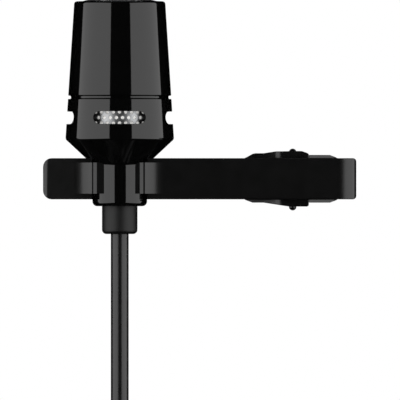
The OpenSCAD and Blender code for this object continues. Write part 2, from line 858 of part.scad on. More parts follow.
// ---- Cable entry ----
module crimp_sleeve() {
    color([0.7, 0.7, 0.7])
        at_mic()
            ring(cord_bore + crimp_wall, cord_bore, crimp_lo, crimp_lo + crimp_len);
}

module cable_core() {
    color([0.08, 0.08, 0.08])
        at_mic()
            translate([0, 0, boot_lo])
                cylinder(h = core_top - boot_lo, r = cord_r);
}

module strain_boot() {
    color([0.1, 0.1, 0.1])
        at_mic()
            rotate_extrude()
                polygon(outline([
                    [cord_bore, boot_lo],
                    [boot_r, boot_lo, boot_edge],
                    [boot_r, boot_seat],
                    [barrel_bore - fit, boot_seat],
                    [barrel_bore - fit, boot_top],
                    [cord_bore, boot_top]
                ]));
}

// ---- Clip bar with its split ring ----
ramp_bend = 2;    // how sharply the ramp flattens towards its foot
ramp_steps = 12;
function ramp(t) = [crest_x + (ramp_x - crest_x) * t, -face_ahead - crest_h * pow(1 - t, ramp_bend)];

module ring_arm() {
    arm = concat(
        [[split_half, 0], [split_half, -face_ahead - lip_flat_h], [lip_flat_x, -face_ahead - lip_flat_h]],
        [for (i = [0:ramp_steps]) ramp(i / ramp_steps)],
        [[ramp_x, 0]]
    );
    translate([0, 0, -ring_drop])
        linear_extrude(ring_top + ring_drop)
            polygon(arm);
}

module bar_body() {
    intersection() {
        translate([0, 0, -bar_half])
            linear_extrude(bar_h)
                polygon(outline([
                    [-jaw_reach, bar_y, end_edge],
                    [tail_reach, bar_y, tail_edge],
                    [tail_reach, 0, bar_edge],
                    [-jaw_reach, 0, bar_edge]
                ]));
        seen_from_front(bar_y - cut, cut, outline([
            [-jaw_reach, -bar_half, end_corner],
            [tail_reach, -bar_half, bar_edge],
            [tail_reach, bar_half, bar_edge],
            [-jaw_reach, bar_half, end_corner]
        ]));
    }
}

module clip_bar() {
    seat_rise = bar_half + cut - cone_lo;
    notch = face_ahead + crest_h + cut;
    color([0.06, 0.06, 0.06])
        difference() {
            union() {
                bar_body();
                at_mic() {
                    ring_arm();
                    mirror([1, 0, 0])
                        ring_arm();
                }
            }
            at_mic() {
                translate([0, 0, -bar_h])
                    cylinder(h = 2 * bar_h, r = ring_r);
                translate([0, 0, cone_lo])
                    cylinder(h = seat_rise, r1 = ring_r, r2 = ring_r + seat_rise * tan(cone_angle));
                translate([-split_half, -notch, -bar_h])
                    cube([2 * split_half, notch, 2 * bar_h]);
                for (z = [-ring_drop - bar_h, ring_top])
                    translate([-ring_r, -notch, z])
                        cube([2 * ring_r, notch, bar_h]);
            }
            translate([channel_start, channel_y, -channel_half])
                cube([tail_reach - tail_wall - channel_start, cut - channel_y, 2 * channel_half]);
            for (i = [0:grip_count - 1])
                tooth(grip_x + i * grip_pitch, grip_depth);
            translate([pivot_x, pivot_y, -bar_h])
                cylinder(h = 2 * bar_h, r = pin_r + eps);
        }
}

// ---- Pivot pin, spring and jaw lever ----
module pivot_pin() {
    color([0.5, 0.5, 0.5])
        translate([pivot_x, pivot_y, 0]) {
            translate([0, 0, pin_r - pin_down])
                cylinder(h = pin_up + pin_down - 2 * pin_r, r = pin_r);
            for (z = [pin_r - pin_down, pin_up - pin_r])
                translate([0, 0, z])
                    sphere(pin_r);
        }
}

function spring_point(a) = [
    spring_r * cos(a),
    spring_r * sin(a),
    spring_pitch * (a - leg_start - leg_run / 2) / 360
];

module jaw_spring() {
    steps = round(leg_run / 45);
    start = spring_point(leg_start);
    stop = spring_point(leg_start + leg_run);
    path = concat(
        [start + bar_leg_len * [cos(leg_angle), -sin(leg_angle), 0]],
        [for (i = [0:steps]) spring_point(leg_start + leg_run * i / steps)],
        [stop + lever_leg_len * [cos(leg_angle), sin(leg_angle), 0]]
    );
    color([0.7, 0.7, 0.72])
        translate([pivot_x, pivot_y, 0])
            tube(path, spring_wire / 2, 6, [0, 0, 1]);
}

tab_dir = [cos(tab_angle), sin(tab_angle)];
tab_normal = [-sin(tab_angle), cos(tab_angle)];
tab_end = [ear_x1, tab_y];

module lever_plan() {
    outer = tab_end + lever_t * tab_normal;
    polygon(outline([
        [jaw_x, jaw_gap],
        [jaw_x + jaw_len, jaw_gap, 0.4],
        [jaw_x + jaw_len + 1.2, throat, 0.8],
        [tab_x, throat, 2],
        tab_end,
        [outer[0], outer[1], 0.2],
        [tab_x - lever_t * tan(tab_angle / 2), throat + lever_t, 2.4],
        [jaw_x + jaw_len + 1, throat + lever_t, 1.2],
        [jaw_x + jaw_len - 0.3, jaw_gap + lever_t, 1.2],
        [jaw_x, jaw_gap + lever_t, 0.2]
    ]));
}

module ear_plan() {
    polygon(outline([
        [ear_x0, throat + 0.1],
        [ear_x0, -0.7, 0.6],
        [pivot_x - 1.7, pivot_y - 1.5, 1.3],
        [pivot_x + 1.7, pivot_y - 1.5, 1.3],
        [ear_x1 - 0.4, tab_y - 1.4, 0.5],
        [ear_x1, tab_y + 0.1],
        [tab_x, throat + 0.1]
    ]));
}

module lever_mask(reach) {
    seen_from_front(pivot_y - 2 * cut, tab_y + 2 * cut, [
        [ear_x0, -reach + ear_t], [ear_x0 + ear_slope, -reach], [ear_x1 - ear_slope, -reach],
        [ear_x1, -reach + ear_t], [ear_x1, reach - ear_t], [ear_x1 - ear_slope, reach],
        [ear_x0 + ear_slope, reach], [ear_x0, reach - ear_t]
    ]);
}

module knuckle() {
    round_end = 0.25;
    intersection() {
        seen_from_front(pivot_y - 2 * cut, pivot_y + 1.2, outline([
            [pivot_x - knuckle_front, ear_out - eps],
            [pivot_x + knuckle_back, ear_out - eps],
            [pivot_x + knuckle_back, ear_out + knuckle_h, round_end],
            [pivot_x - pin_r, ear_out + knuckle_h, knuckle_front / 2]
        ]));
        linear_extrude(2 * ear_out)
            ear_plan();
    }
}

module rib(i) {
    p = tab_end + lever_t * tab_normal - i * rib_pitch * tab_dir;
    translate([p[0], p[1], -arm_half])
        cylinder(h = 2 * arm_half, r = rib_r, $fn = 24);
}

// A V-groove across the bar's or the jaw's grip face; y is grip_depth in front of that face
module tooth(x, y) {
    side = 2 * grip_depth * sqrt(2);
    translate([x, y, -bar_h])
        rotate([0, 0, 45])
            translate([-side / 2, -side / 2, 0])
                cube([side, side, 2 * bar_h]);
}

module jaw_lever() {
    color([0.08, 0.08, 0.08])
        difference() {
            union() {
                translate([0, 0, -arm_half])
                    linear_extrude(2 * arm_half)
                        intersection() {
                            lever_plan();
                            translate([jaw_x - cut, -cut])
                                square([ear_x0 - jaw_x + 2 * cut, 2 * throat + 2 * cut]);
                        }
                intersection() {
                    lever_mask(ear_out);
                    union() {
                        translate([0, 0, -ear_out])
                            linear_extrude(2 * ear_out)
                                lever_plan();
                        for (z = [-ear_out, ear_in])
                            translate([0, 0, z])
                                linear_extrude(ear_t)
                                    ear_plan();
                    }
                }
                knuckle();
                mirror([0, 0, 1])
                    knuckle();
                for (i = [1:rib_count])
                    rib(i);
            }
            for (i = [0:grip_count - 2])
                tooth(grip_x + (i + 0.5) * grip_pitch, jaw_gap - grip_depth);
            translate([pivot_x, pivot_y, -2 * ear_out])
                cylinder(h = 4 * ear_out, r = pin_r + pin_gap);
        }
}

// ---- Cable: drop, coil, tie and tail ----
function smooth(t) = t * t * (3 - 2 * t);
function coil_radius(layer, u) =
    let (inward = layer % 2 == 0, s = u - layer_turns)
    s <= 0 ? (inward ? coil_out - turn_pitch * u : coil_in + turn_pitch * u)
           : (inward ? coil_in - turn_pitch * (s - 2 * s * s) : coil_out + turn_pitch * (s - 2 * s * s));
function coil_point(t) =
    let (layer = min(coil_layers - 1, floor(t / (layer_turns + 0.5))), u = t - layer * (layer_turns + 0.5))
    let (r = coil_radius(layer, u), a = lead_angle - 360 * t)
    [r * cos(a), axis_y + turn_pitch * (layer + smooth(max(0, 2 * (u - layer_turns)))), coil_z + r * sin(a)];
function lead_point(a, y, z) = [lead_bend * (1 + cos(a)), y, z + lead_bend * sin(a)];

coil_steps = round(turns * ring_steps);
lead_steps = 5;
lead_step = lead_angle / lead_steps;
coil_path = concat(
    [[0, axis_y, -coil_entry]],
    [for (i = [0:lead_steps - 1]) lead_point(180 + i * lead_step, axis_y, coil_z + lead_drop)],
    [for (i = [0:coil_steps]) coil_point(turns * i / coil_steps)],
    [for (i = [lead_steps - 1:-1:0]) lead_point(180 - i * lead_step, tail_y, coil_z - lead_drop)],
    [[0, tail_y, coil_exit]]
);

// The least gap between rings of the coil that lie at least so many steps apart
function least_gap(path, apart) = min([
    for (i = [0:len(path) - apart - 1])
        for (j = [i + apart:len(path) - 1])
            norm(path[i] - path[j])
]) - cord_d;
function sum(list, i = 0, so_far = 0) = i == len(list) ? so_far : sum(list, i + 1, so_far + list[i]);
function path_length(path) = sum([for (i = [1:len(path) - 1]) norm(path[i] - path[i - 1])]);

module cable_drop() {
    color([0.08, 0.08, 0.08])
        tube(drop_route, cord_r, 8, [0, 1, 0]);
}

module cable_coil() {
    color([0.08, 0.08, 0.08])
        tube(coil_path, cord_r, 6, [0, 1, 0]);
    echo(least_gap = least_gap(coil_path, ring_steps / 2));
    echo(cable_length = path_length(concat(drop_route, coil_path, tail_route)));
}

module tie_outline(grow) {
    slack = 0.1;
    bulge = tie_w * tie_w / 8 / (coil_in - cord_r);    // how far the inner turns curve within the tie's width
    lo = coil_in - turn_swell - cord_r - bulge - slack - grow;
    hi = coil_out + turn_swell + cord_r + slack + grow;
    y0 = -cord_r - slack - grow;
    y1 = (coil_layers - 1) * turn_pitch + cord_r + slack + grow;
    r = cord_r / 2 + grow;
    polygon(outline([[lo, y0, r], [hi, y0, r], [hi, y1, r], [lo, y1, r]]));
}

module cable_tie() {
    color([0.2, 0.2, 0.2])
        translate([0, axis_y, coil_z])
            rotate([0, -tie_angle, 0])
                translate([0, 0, -tie_w / 2])
                    linear_extrude(tie_w)
                        difference() {
                            tie_outline(tie_t);
                            tie_outline(0);
                        }
}

module cable_tail() {
    color([0.08, 0.08, 0.08])
        tube(tail_route, cord_r, 8, [0, 1, 0]);
}

// ---- Plug ----
module relief_groove(depth) {
    r = relief_tip_r + (relief_base_r - relief_tip_r) * depth / relief_len;
    lo = plug_top - depth - relief_slot / 2;
    ring(relief_base_r + cut, r - relief_cut, lo, lo + relief_slot);
}

module plug_relief() {
    color([0.1, 0.1, 0.1])
        at_plug()
            difference() {
                rotate_extrude()
                    polygon(outline([
                        [cord_bore, plug_top],
                        [cord_bore, clamp_hi],
                        [nut_bore - fit, clamp_hi],
                        [nut_bore - fit, nut_hi - nut_cover],
                        [relief_base_r, nut_hi - nut_cover],
                        [relief_base_r, nut_hi],
                        [relief_tip_r, plug_top, 0.3]
                    ]));
                for (i = [1:relief_rings])
                    relief_groove(i * relief_len / (relief_rings + 1));
            }
}

module plug_nut() {
    color([0.55, 0.55, 0.57])
        at_plug()
            difference() {
                rotate_extrude()
                    polygon(outline([
                        [relief_base_r + 0.1, nut_hi],
                        [relief_base_r + 0.1, nut_hi - nut_cover],
                        [nut_bore, nut_hi - nut_cover],
                        [nut_bore, nut_lo - nut_spigot],
                        [shell_bore - fit, nut_lo - nut_spigot],
                        [shell_bore - fit, nut_lo],
                        [nut_r, nut_lo],
                        [nut_r, nut_hi, 0.5]
                    ]));
                spread(flute_count, nut_r + flute_r - flute_depth)
                    translate([0, 0, nut_lo + nut_cover])
                        cylinder(h = nut_len, r = flute_r, $fn = 24);
            }
}

module plug_shell() {
    color([0.6, 0.6, 0.62])
        at_plug()
            difference() {
                rotate_extrude()
                    polygon(outline([
                        [shell_r, nut_lo, 0.2],
                        [shell_bore, nut_lo],
                        [shell_bore, shell_lo + shell_wall],
                        [nose_bore, shell_lo + shell_wall],
                        [nose_bore, nose_lo],
                        [nose_r, nose_lo, 0.2],
                        [nose_r, shell_lo],
                        [shell_r, shell_lo, 0.3]
                    ]));
                translate([-button_w / 2 - latch_gap, -shell_r - cut, latch_z - button_l / 2 - latch_gap])
                    cube([button_w + 2 * latch_gap, shell_r, button_l + 2 * latch_gap]);
                translate([-tongue_w / 2 - latch_gap, -shell_r, hook_z - hook_h / 2 - latch_gap])
                    cube([tongue_w + 2 * latch_gap, shell_r, hook_h + 2 * latch_gap]);
            }
}

module plug_insert() {
    groove_w = tongue_w + 4 * latch_gap;
    groove_lo = hook_z - hook_h;
    groove_in = tongue_in - latch_travel - latch_gap;
    color([0.1, 0.1, 0.1])
        at_plug()
            difference() {
                union() {
                    translate([0, 0, insert_lo])
                        cylinder(h = insert_hi - insert_lo, r = nose_bore - fit);
                    translate([0, 0, shell_lo + shell_wall])
                        cylinder(h = insert_hi - shell_lo - shell_wall, r = shell_bore - fit);
                    translate([-bridge_w / 2, -bridge_out, insert_hi - eps])
                        cube([bridge_w, bridge_t, latch_z - insert_hi + 2 * latch_coil_r]);
                }
                translate([-groove_w / 2, -shell_r, groove_lo])
                    cube([groove_w, shell_r - groove_in, insert_hi + cut - groove_lo]);
                spread(contact_count, contact_ring, 45)
                    translate([0, 0, insert_lo - cut]) {
                        cylinder(h = insert_hi - insert_lo + 2 * cut, r = contact_bore + 0.05);
                        translate([0, 0, contact_lo - insert_lo + cut])
                            cylinder(h = insert_hi - contact_lo + cut, r = contact_r + 0.02);
                    }
            }
}

module plug_contacts() {
    color([0.85, 0.7, 0.3])
        at_plug()
            spread(contact_count, contact_ring, 45)
                difference() {
                    translate([0, 0, contact_lo])
                        cylinder(h = contact_hi - contact_lo, r = contact_r);
                    translate([0, 0, contact_lo - cut])
                        cylinder(h = contact_reach + cut, r = contact_bore);
                }
}

module plug_wires() {
    color([0.75, 0.2, 0.15])
        at_plug()
            spread(contact_count, 0, 45)
                rod([contact_ring, 0, contact_hi + lead_r / 2], [lead_ring, 0, lead_lo - lead_r], lead_r);
}

module cable_clamp() {
    color([0.7, 0.7, 0.7])
        at_plug()
            difference() {
                union() {
                    ring(nut_bore - fit, cord_bore, clamp_hi - clamp_flange, clamp_hi);
                    ring(clamp_r, cord_bore, clamp_lo, clamp_hi);
                }
                translate([0, -0.25, clamp_lo - cut])
                    cube([nut_bore + cut, 0.5, clamp_hi - clamp_lo + 2 * cut]);
            }
}

module plug_lead() {
    color([0.08, 0.08, 0.08])
        at_plug()
            translate([0, 0, lead_lo])
                cylinder(h = plug_top - lead_lo, r = cord_r);
}

module plug_latch() {
    wide = button_w + 2 * latch_rim;
    tall = button_l + 2 * latch_rim;
    tongue_hi = latch_z - tall / 2 + latch_t;
    tongue_lo = hook_z - hook_h / 2;
    color([0.12, 0.12, 0.12])
        at_plug() {
            difference() {
                translate([-button_w / 2, -shell_r - button_rise, latch_z - button_l / 2])
                    cube([button_w, shell_r + button_rise - latch_in, button_l]);
                for (i = [-1:1])
                    translate([-button_w, -shell_r - button_rise - 0.1, latch_z + i * button_l / 4])
                        rotate([0, 90, 0])
                            cylinder(h = 2 * button_w, r = 0.3, $fn = 24);
            }
            translate([-wide / 2, -latch_in - latch_t, latch_z - tall / 2])
                cube([wide, latch_t, tall]);
            translate([-tongue_w / 2, -latch_in - latch_t, latch_z - tall / 2])
                cube([tongue_w, latch_in + latch_t - tongue_in, latch_t]);
            translate([-tongue_w / 2, -tongue_out, tongue_lo])
                cube([tongue_w, latch_t, tongue_hi - tongue_lo]);
            translate([-tongue_w / 2, fit - nose_r, tongue_lo])
                cube([tongue_w, nose_r - fit - tongue_in, hook_h]);
        }
}

module latch_spring() {
    reach = latch_spring_len - latch_wire - 2 * fit;
    steps = latch_turns * 8;
    path = [
        for (i = [0:steps])
            [latch_coil_r * cos(45 * i), latch_coil_r * sin(45 * i), reach * i / steps]
    ];
    color([0.7, 0.7, 0.72])
        at_plug()
            translate([0, -bridge_out - latch_wire / 2 - fit, latch_z])
                rotate([90, 0, 0])
                    tube(path, latch_wire / 2, 6, [0, 0, 1]);
}

front_cap();
top_grille();
grille_foam();
port_housing();
port_screen();
port_felt();
capsule_carrier();
front_gasket();
capsule_can();
diaphragm_ring();
diaphragm();
spacer_ring();
backplate();
capsule_cup();
capsule_board();
transistor();
lead_wires();
crimp_sleeve();
cable_core();
strain_boot();
clip_bar();
pivot_pin();
jaw_spring();
jaw_lever();
cable_drop();
cable_coil();
cable_tie();
cable_tail();
plug_relief();
plug_nut();
plug_shell();
plug_insert();
plug_contacts();
plug_wires();
cable_clamp();
plug_lead();
plug_latch();
latch_spring();
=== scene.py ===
import math

import bpy
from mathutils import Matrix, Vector


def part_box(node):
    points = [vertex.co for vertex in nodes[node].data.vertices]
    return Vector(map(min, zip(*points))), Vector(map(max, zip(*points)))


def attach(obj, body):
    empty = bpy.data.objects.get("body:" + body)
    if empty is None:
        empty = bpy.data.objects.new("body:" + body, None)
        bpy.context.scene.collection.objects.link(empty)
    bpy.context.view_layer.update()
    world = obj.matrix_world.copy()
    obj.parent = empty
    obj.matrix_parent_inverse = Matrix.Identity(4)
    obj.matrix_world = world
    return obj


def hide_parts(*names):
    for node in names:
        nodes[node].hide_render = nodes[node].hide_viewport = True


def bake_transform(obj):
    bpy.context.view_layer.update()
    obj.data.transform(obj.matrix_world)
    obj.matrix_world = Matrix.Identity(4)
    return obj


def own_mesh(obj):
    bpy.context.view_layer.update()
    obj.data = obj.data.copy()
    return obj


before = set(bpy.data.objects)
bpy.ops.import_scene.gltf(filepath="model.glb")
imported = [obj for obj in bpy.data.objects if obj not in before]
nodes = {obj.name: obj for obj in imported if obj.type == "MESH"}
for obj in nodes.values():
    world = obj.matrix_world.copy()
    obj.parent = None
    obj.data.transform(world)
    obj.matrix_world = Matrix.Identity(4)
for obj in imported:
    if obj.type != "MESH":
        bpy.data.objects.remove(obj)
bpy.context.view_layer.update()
bpy.context.scene.view_settings.view_transform = "Standard"

mm = 0.001
fit = 0.03       # clearance between two fitted pieces, in millimetres
onLine = 0.02    # a point this close to a line, in millimetres, is on it
weld = 1e-7      # points closer than this, in metres, are merged

# The microphone's axis and the plug's axis both stand upright, at these depths
axisY = -4.3
tailY = 3.35


# Small helpers. Their sizes are in millimetres
def clearSelection():
    if bpy.context.object and bpy.context.object.mode != "OBJECT":
        bpy.ops.object.mode_set(mode="OBJECT")
    bpy.ops.object.select_all(action="DESELECT")


def pick(obj):
    clearSelection()
    obj.select_set(True)
    bpy.context.view_layer.objects.active = obj


def applyModifiers(obj):
    pick(obj)
    for modifier in list(obj.modifiers):
        bpy.ops.object.modifier_apply(modifier=modifier.name)
    return obj


def editAll(obj):
    pick(obj)
    bpy.ops.object.mode_set(mode="EDIT")
    bpy.ops.mesh.select_all(action="SELECT")


def smooth(obj, degrees=32):
    pick(obj)
    bpy.ops.object.shade_smooth_by_angle(angle=math.radians(degrees))
    return obj


# Keeps the light flat on large faces beside narrow bevels
def evenNormals(obj, degrees=50):
    smooth(obj, degrees)
    modifier = obj.modifiers.new("evenNormals", "WEIGHTED_NORMAL")
    modifier.keep_sharp = True
    return applyModifiers(obj)


# Cuts the cutter out of a piece and deletes it
def carve(obj, cutter):
    modifier = obj.modifiers.new("carve", "BOOLEAN")
    modifier.operation = "DIFFERENCE"
    modifier.solver = "EXACT"
    modifier.object = cutter
    applyModifiers(obj)
    pick(cutter)
    bpy.ops.object.delete()


# Repeats what is selected in edit mode round an upright axis, count times in all
def copyRound(count, y):
    for _ in range(count - 1):
        bpy.ops.mesh.duplicate()
        bpy.ops.transform.rotate(value=2 * math.pi / count, orient_axis="Z", center_override=(0, y * mm, 0))


# Extrudes one vertex from point to point, and leaves the line in edit mode, all selected
def drawLine(name, points, closed=False):
    clearSelection()
    bpy.ops.mesh.primitive_plane_add(size=2 * mm, location=(0, 0, 0))
    obj = bpy.context.object
    obj.name = obj.data.name = name
    last = obj.data.vertices[0].co.copy()
    bpy.ops.object.mode_set(mode="EDIT")
    bpy.ops.mesh.select_mode(type="VERT")
    bpy.ops.mesh.select_all(action="DESELECT")
    bpy.ops.object.mode_set(mode="OBJECT")
    for vertex in list(obj.data.vertices)[1:]:
        vertex.select = True
    bpy.ops.object.mode_set(mode="EDIT")
    bpy.ops.mesh.delete(type="VERT")
    bpy.ops.mesh.select_all(action="SELECT")
    for number, point in enumerate(points):
        here = Vector(point) * mm
        if number == 0:
            bpy.ops.transform.translate(value=here - last)
        else:
            bpy.ops.mesh.extrude_region_move(TRANSFORM_OT_translate={"value": here - last})
        last = here
    bpy.ops.mesh.select_all(action="SELECT")
    if closed:
        bpy.ops.mesh.edge_face_add()
        bpy.ops.mesh.delete(type="ONLY_FACE")
        bpy.ops.mesh.select_all(action="SELECT")
    return obj


# Rounds the corners of an outline: each corner is (x, y) or (x, y, radius). A support point on each side of
# a round keeps its shading off the flats
def rounded(corners, steps=6, closed=True, support=0.03):
    out = []
    count = len(corners)
    for i, b in enumerate(corners):
        if len(b) < 3 or (not closed and i in (0, count - 1)):
            out.append((b[0], b[1]))
            continue
        here = Vector(b[:2])
        radius = b[2]
        u = (Vector(corners[i - 1][:2]) - here).normalized()
        v = (Vector(corners[(i + 1) % count][:2]) - here).normalized()
        half = math.acos(max(-1, min(1, u.dot(v)))) / 2
        middle = here + (u + v).normalized() * radius / math.sin(half)
        p = here + u * radius / math.tan(half) - middle
        q = here + v * radius / math.tan(half) - middle
        start = math.atan2(p.y, p.x)
        turn = math.remainder(math.atan2(q.y, q.x) - start, 2 * math.pi)
        if support:
            out.append(tuple(middle + p + u * support))
        for k in range(steps + 1):
            a = start + turn * k / steps
            out.append(tuple(middle + radius * Vector((math.cos(a), math.sin(a)))))
        if support:
            out.append(tuple(middle + q + v * support))
    return out


# Turns an outline of (radius, height) round an upright axis; one that starts at radius 0 stays open there
def lathe(name, outline, y=axisY, steps=128):
    obj = drawLine(name, [(r, y, z) for r, z in outline], closed=outline[0][0] > 0)
    bpy.ops.mesh.spin(steps=steps, angle=2 * math.pi, center=(0, y * mm, 0), axis=(0, 0, 1))
    bpy.ops.mesh.select_all(action="SELECT")
    bpy.ops.mesh.remove_doubles(threshold=weld)
    bpy.ops.mesh.normals_make_consistent(inside=False)
    bpy.ops.object.mode_set(mode="OBJECT")
    return smooth(obj)


# Bevels the sharp edges whose two ends pass the test
def bevelSharp(obj, width, test=None, degrees=35, steps=2):
    pick(obj)
    bpy.ops.object.mode_set(mode="EDIT")
    bpy.ops.mesh.select_mode(type="EDGE")
    bpy.ops.mesh.select_all(action="DESELECT")
    bpy.ops.mesh.edges_select_sharp(sharpness=math.radians(degrees))
    bpy.ops.object.mode_set(mode="OBJECT")
    mesh = obj.data
    places = [vertex.co / mm for vertex in mesh.vertices]
    wanted = [
        edge.index for edge in mesh.edges
        if edge.select and (test is None or test(*[places[corner] for corner in edge.vertices]))
    ]
    for items in (mesh.vertices, mesh.edges, mesh.polygons):
        items.foreach_set("select", [False] * len(items))
    for index in wanted:
        mesh.edges[index].select = True
        for corner in mesh.edges[index].vertices:
            mesh.vertices[corner].select = True
    bpy.ops.object.mode_set(mode="EDIT")
    bpy.ops.mesh.bevel(offset=width * mm, segments=steps, affect="EDGES", clamp_overlap=False)
    bpy.ops.mesh.select_mode(type="VERT")
    bpy.ops.object.mode_set(mode="OBJECT")


# A merged copy of a CAD node with its sharp edges rounded. Cuts add edges across it, and shape moves its
# points
def softened(name, node, width, test=None, shape=None, cuts=()):
    clearSelection()
    mesh = nodes[node].data.copy()
    mesh.name = name
    mesh.materials.clear()
    obj = bpy.data.objects.new(name, mesh)
    bpy.context.collection.objects.link(obj)
    editAll(obj)
    bpy.ops.mesh.customdata_custom_splitnormals_clear()
    bpy.ops.mesh.remove_doubles(threshold=2e-6)
    bpy.ops.mesh.dissolve_limited(angle_limit=math.radians(0.4))
    for x in cuts:
        bpy.ops.mesh.select_all(action="SELECT")
        bpy.ops.mesh.bisect(plane_co=(x * mm, 0, 0), plane_no=(1, 0, 0))
    bpy.ops.object.mode_set(mode="OBJECT")
    if shape:
        for vertex in obj.data.vertices:
            vertex.co = Vector(shape(*(vertex.co / mm))) * mm
    bevelSharp(obj, width, test, steps=4)
    return evenNormals(obj, 25)


# Round wires along lists of points, as one mesh
def wires(name, paths, diameter):
    clearSelection()
    curve = bpy.data.curves.new(name, "CURVE")
    curve.dimensions = "3D"
    for path in paths:
        spline = curve.splines.new("POLY")
        spline.points.add(len(path) - 1)
        for point, spot in zip(spline.points, path):
            point.co = (*(Vector(spot) * mm), 1)
    curve.bevel_depth = diameter / 2 * mm
    curve.bevel_resolution = 3
    curve.use_fill_caps = True
    obj = bpy.data.objects.new(name, curve)
    bpy.context.collection.objects.link(obj)
    pick(obj)
    bpy.ops.object.convert(target="MESH")
    obj = bpy.context.object
    obj.data.name = name
    editAll(obj)
    bpy.ops.mesh.remove_doubles(threshold=weld)
    bpy.ops.mesh.normals_make_consistent(inside=False)
    return smooth(obj, 45)


# Fits a finished piece to its body, its CAD nodes and its finish. A piece that bends between two bodies
# has None for its body
def place(obj, body, slot, material, *replaced):
    obj.data.materials.clear()
    obj.data.materials.append(material)
    if replaced:
        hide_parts(*replaced)
    if body:
        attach(obj, body)
    return obj


# Camera
cameraPlan = {
    "lens": 1173.91,      # for a frame 46 mm wide at the microphone's axis
    "sensor": 36,
    "away": 1500,
    "right": 9.23,
    "up": -2.44,
    "near": 0.01,         # metres, as the next
    "far": 20,
}
bpy.ops.object.camera_add(
    location=(cameraPlan["right"] * mm, (axisY - cameraPlan["away"]) * mm, cameraPlan["up"] * mm),
    rotation=(math.radians(90), 0, 0),
)
camera = bpy.context.object
camera.data.lens = cameraPlan["lens"]
camera.data.sensor_width = cameraPlan["sensor"]
camera.data.clip_start = cameraPlan["near"]
camera.data.clip_end = cameraPlan["far"]
bpy.context.scene.camera = camera
print("camera placed")

# Cable: its drop, coil and tail in one curve
cablePlan = {
    "diameter": 2.05,
    "coilRadius": 12,
    "pitch": 2.55,        # between neighbouring turns and layers
    "layers": 4,
    "wholeTurns": 15,
    "turnPoints": 24,
    "climb": 0.5,         # of a turn, from each layer to the next
    "leadAngle": 75,      # degrees of the bends into and out of the coil
    "leadPoints": 5,
    "bootEnd": -6.3,
    "dropAt": [-8, -10, -15, -20, -24],
    "entry": 26,
    "tail": 7,
    "cutEdge": 0.12,
}
cordRadius = cablePlan["diameter"] / 2
cordBore = cordRadius + 0.02    # of the boot and the relief, close round the cable


# Straight down, round a lead into the coil, in and out through its layers, and by a second lead to the plug
def coilRoute(plan):
    lead = plan["leadAngle"]
    climb = plan["climb"]
    turns = plan["wholeTurns"] + 2 * lead / 360
    layerTurns = (turns - (plan["layers"] - 1) * climb) / plan["layers"]
    outer = plan["coilRadius"] + layerTurns * plan["pitch"] / 2
    inner = plan["coilRadius"] - layerTurns * plan["pitch"] / 2
    bend = outer * math.cos(math.radians(lead)) / (1 - math.cos(math.radians(lead)))
    drop = (outer + bend) * math.sin(math.radians(lead))
    middle = -plan["entry"] - plan["diameter"] - drop
    out = middle - drop - plan["diameter"]

    def leadPoint(angle, y, z):
        a = math.radians(angle)
        return (bend * (1 + math.cos(a)), y, z + bend * math.sin(a))

    def coilPoint(t):
        layer = min(plan["layers"] - 1, int(t / (layerTurns + climb)))
        u = t - layer * (layerTurns + climb)
        s = u - layerTurns
        inward = layer % 2 == 0
        if s <= 0:
            r = outer - plan["pitch"] * u if inward else inner + plan["pitch"] * u
        else:
            swell = plan["pitch"] * (s - s * s / climb)
            r = inner - swell if inward else outer + swell
        a = math.radians(lead - 360 * t)
        w = max(0, s / climb)
        y = axisY + plan["pitch"] * (layer + w * w * (3 - 2 * w))
        return (r * math.cos(a), y, middle + r * math.sin(a))

    steps = round(turns * plan["turnPoints"])
    leads = plan["leadPoints"]
    route = [(0, axisY, z) for z in (plan["bootEnd"], *plan["dropAt"], -plan["entry"])]
    route += [leadPoint(180 + lead * i / leads, axisY, middle + drop) for i in range(leads)]
    route += [coilPoint(turns * i / steps) for i in range(steps + 1)]
    route += [leadPoint(180 - lead * i / leads, tailY, middle - drop) for i in range(leads - 1, -1, -1)]
    route += [(0, tailY, z) for z in (out, out - plan["tail"] / 2, out - plan["tail"])]
    return route, {"inner": inner, "outer": outer, "middle": middle, "out": out}


route, coil = coilRoute(cablePlan)
plugTop = coil["out"] - cablePlan["tail"]
clearSelection()
curve = bpy.data.curves.new("micCable", "CURVE")
curve.dimensions = "3D"
spline = curve.splines.new("BEZIER")
spline.bezier_points.add(len(route) - 1)
for point, spot in zip(spline.bezier_points, route):
    point.co = Vector(spot) * mm
    point.handle_left_type = point.handle_right_type = "AUTO"
    point.radius = cordRadius * mm
spline.resolution_u = 2
curve.bevel_depth = 1    # times each point's radius
curve.bevel_resolution = 5
curve.use_fill_caps = True
micCable = bpy.data.objects.new("micCable", curve)
bpy.context.collection.objects.link(micCable)
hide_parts("cable_drop", "cable_coil", "cable_tail")
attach(micCable, "mic")
print("cable wound:", len(route), "points")

# Studio: lights, world and floor. Azimuth 0 is in front, and sizes are in metres
studioPlan = {
    "away": 0.42, "tall": 0.6, "wattsPerArea": 5.56,
    "left": {"azimuth": -62.8, "wide": 0.735},
    "right": {"azimuth": 66.2, "wide": 0.704},
    "top": {"azimuth": 180, "away": 0.34, "height": 0.5, "size": 0.24, "watts": 0.1},    # high, behind
    "floor": {"radius": 0.4, "height": -0.119},
}


def softbox(name, azimuth, height, away, wide, tall, watts):
    a = math.radians(azimuth)
    spot = Vector((away * math.sin(a), -away * math.cos(a), height))
    bpy.ops.object.light_add(type="AREA", location=spot)
    lamp = bpy.context.object
    lamp.name = name
    lamp.rotation_euler = (-spot).to_track_quat("-Z", "Y").to_euler()
    lamp.data.shape = "RECTANGLE"
    lamp.data.size = wide
    lamp.data.size_y = tall
    lamp.data.energy = watts
    lamp.visible_camera = False


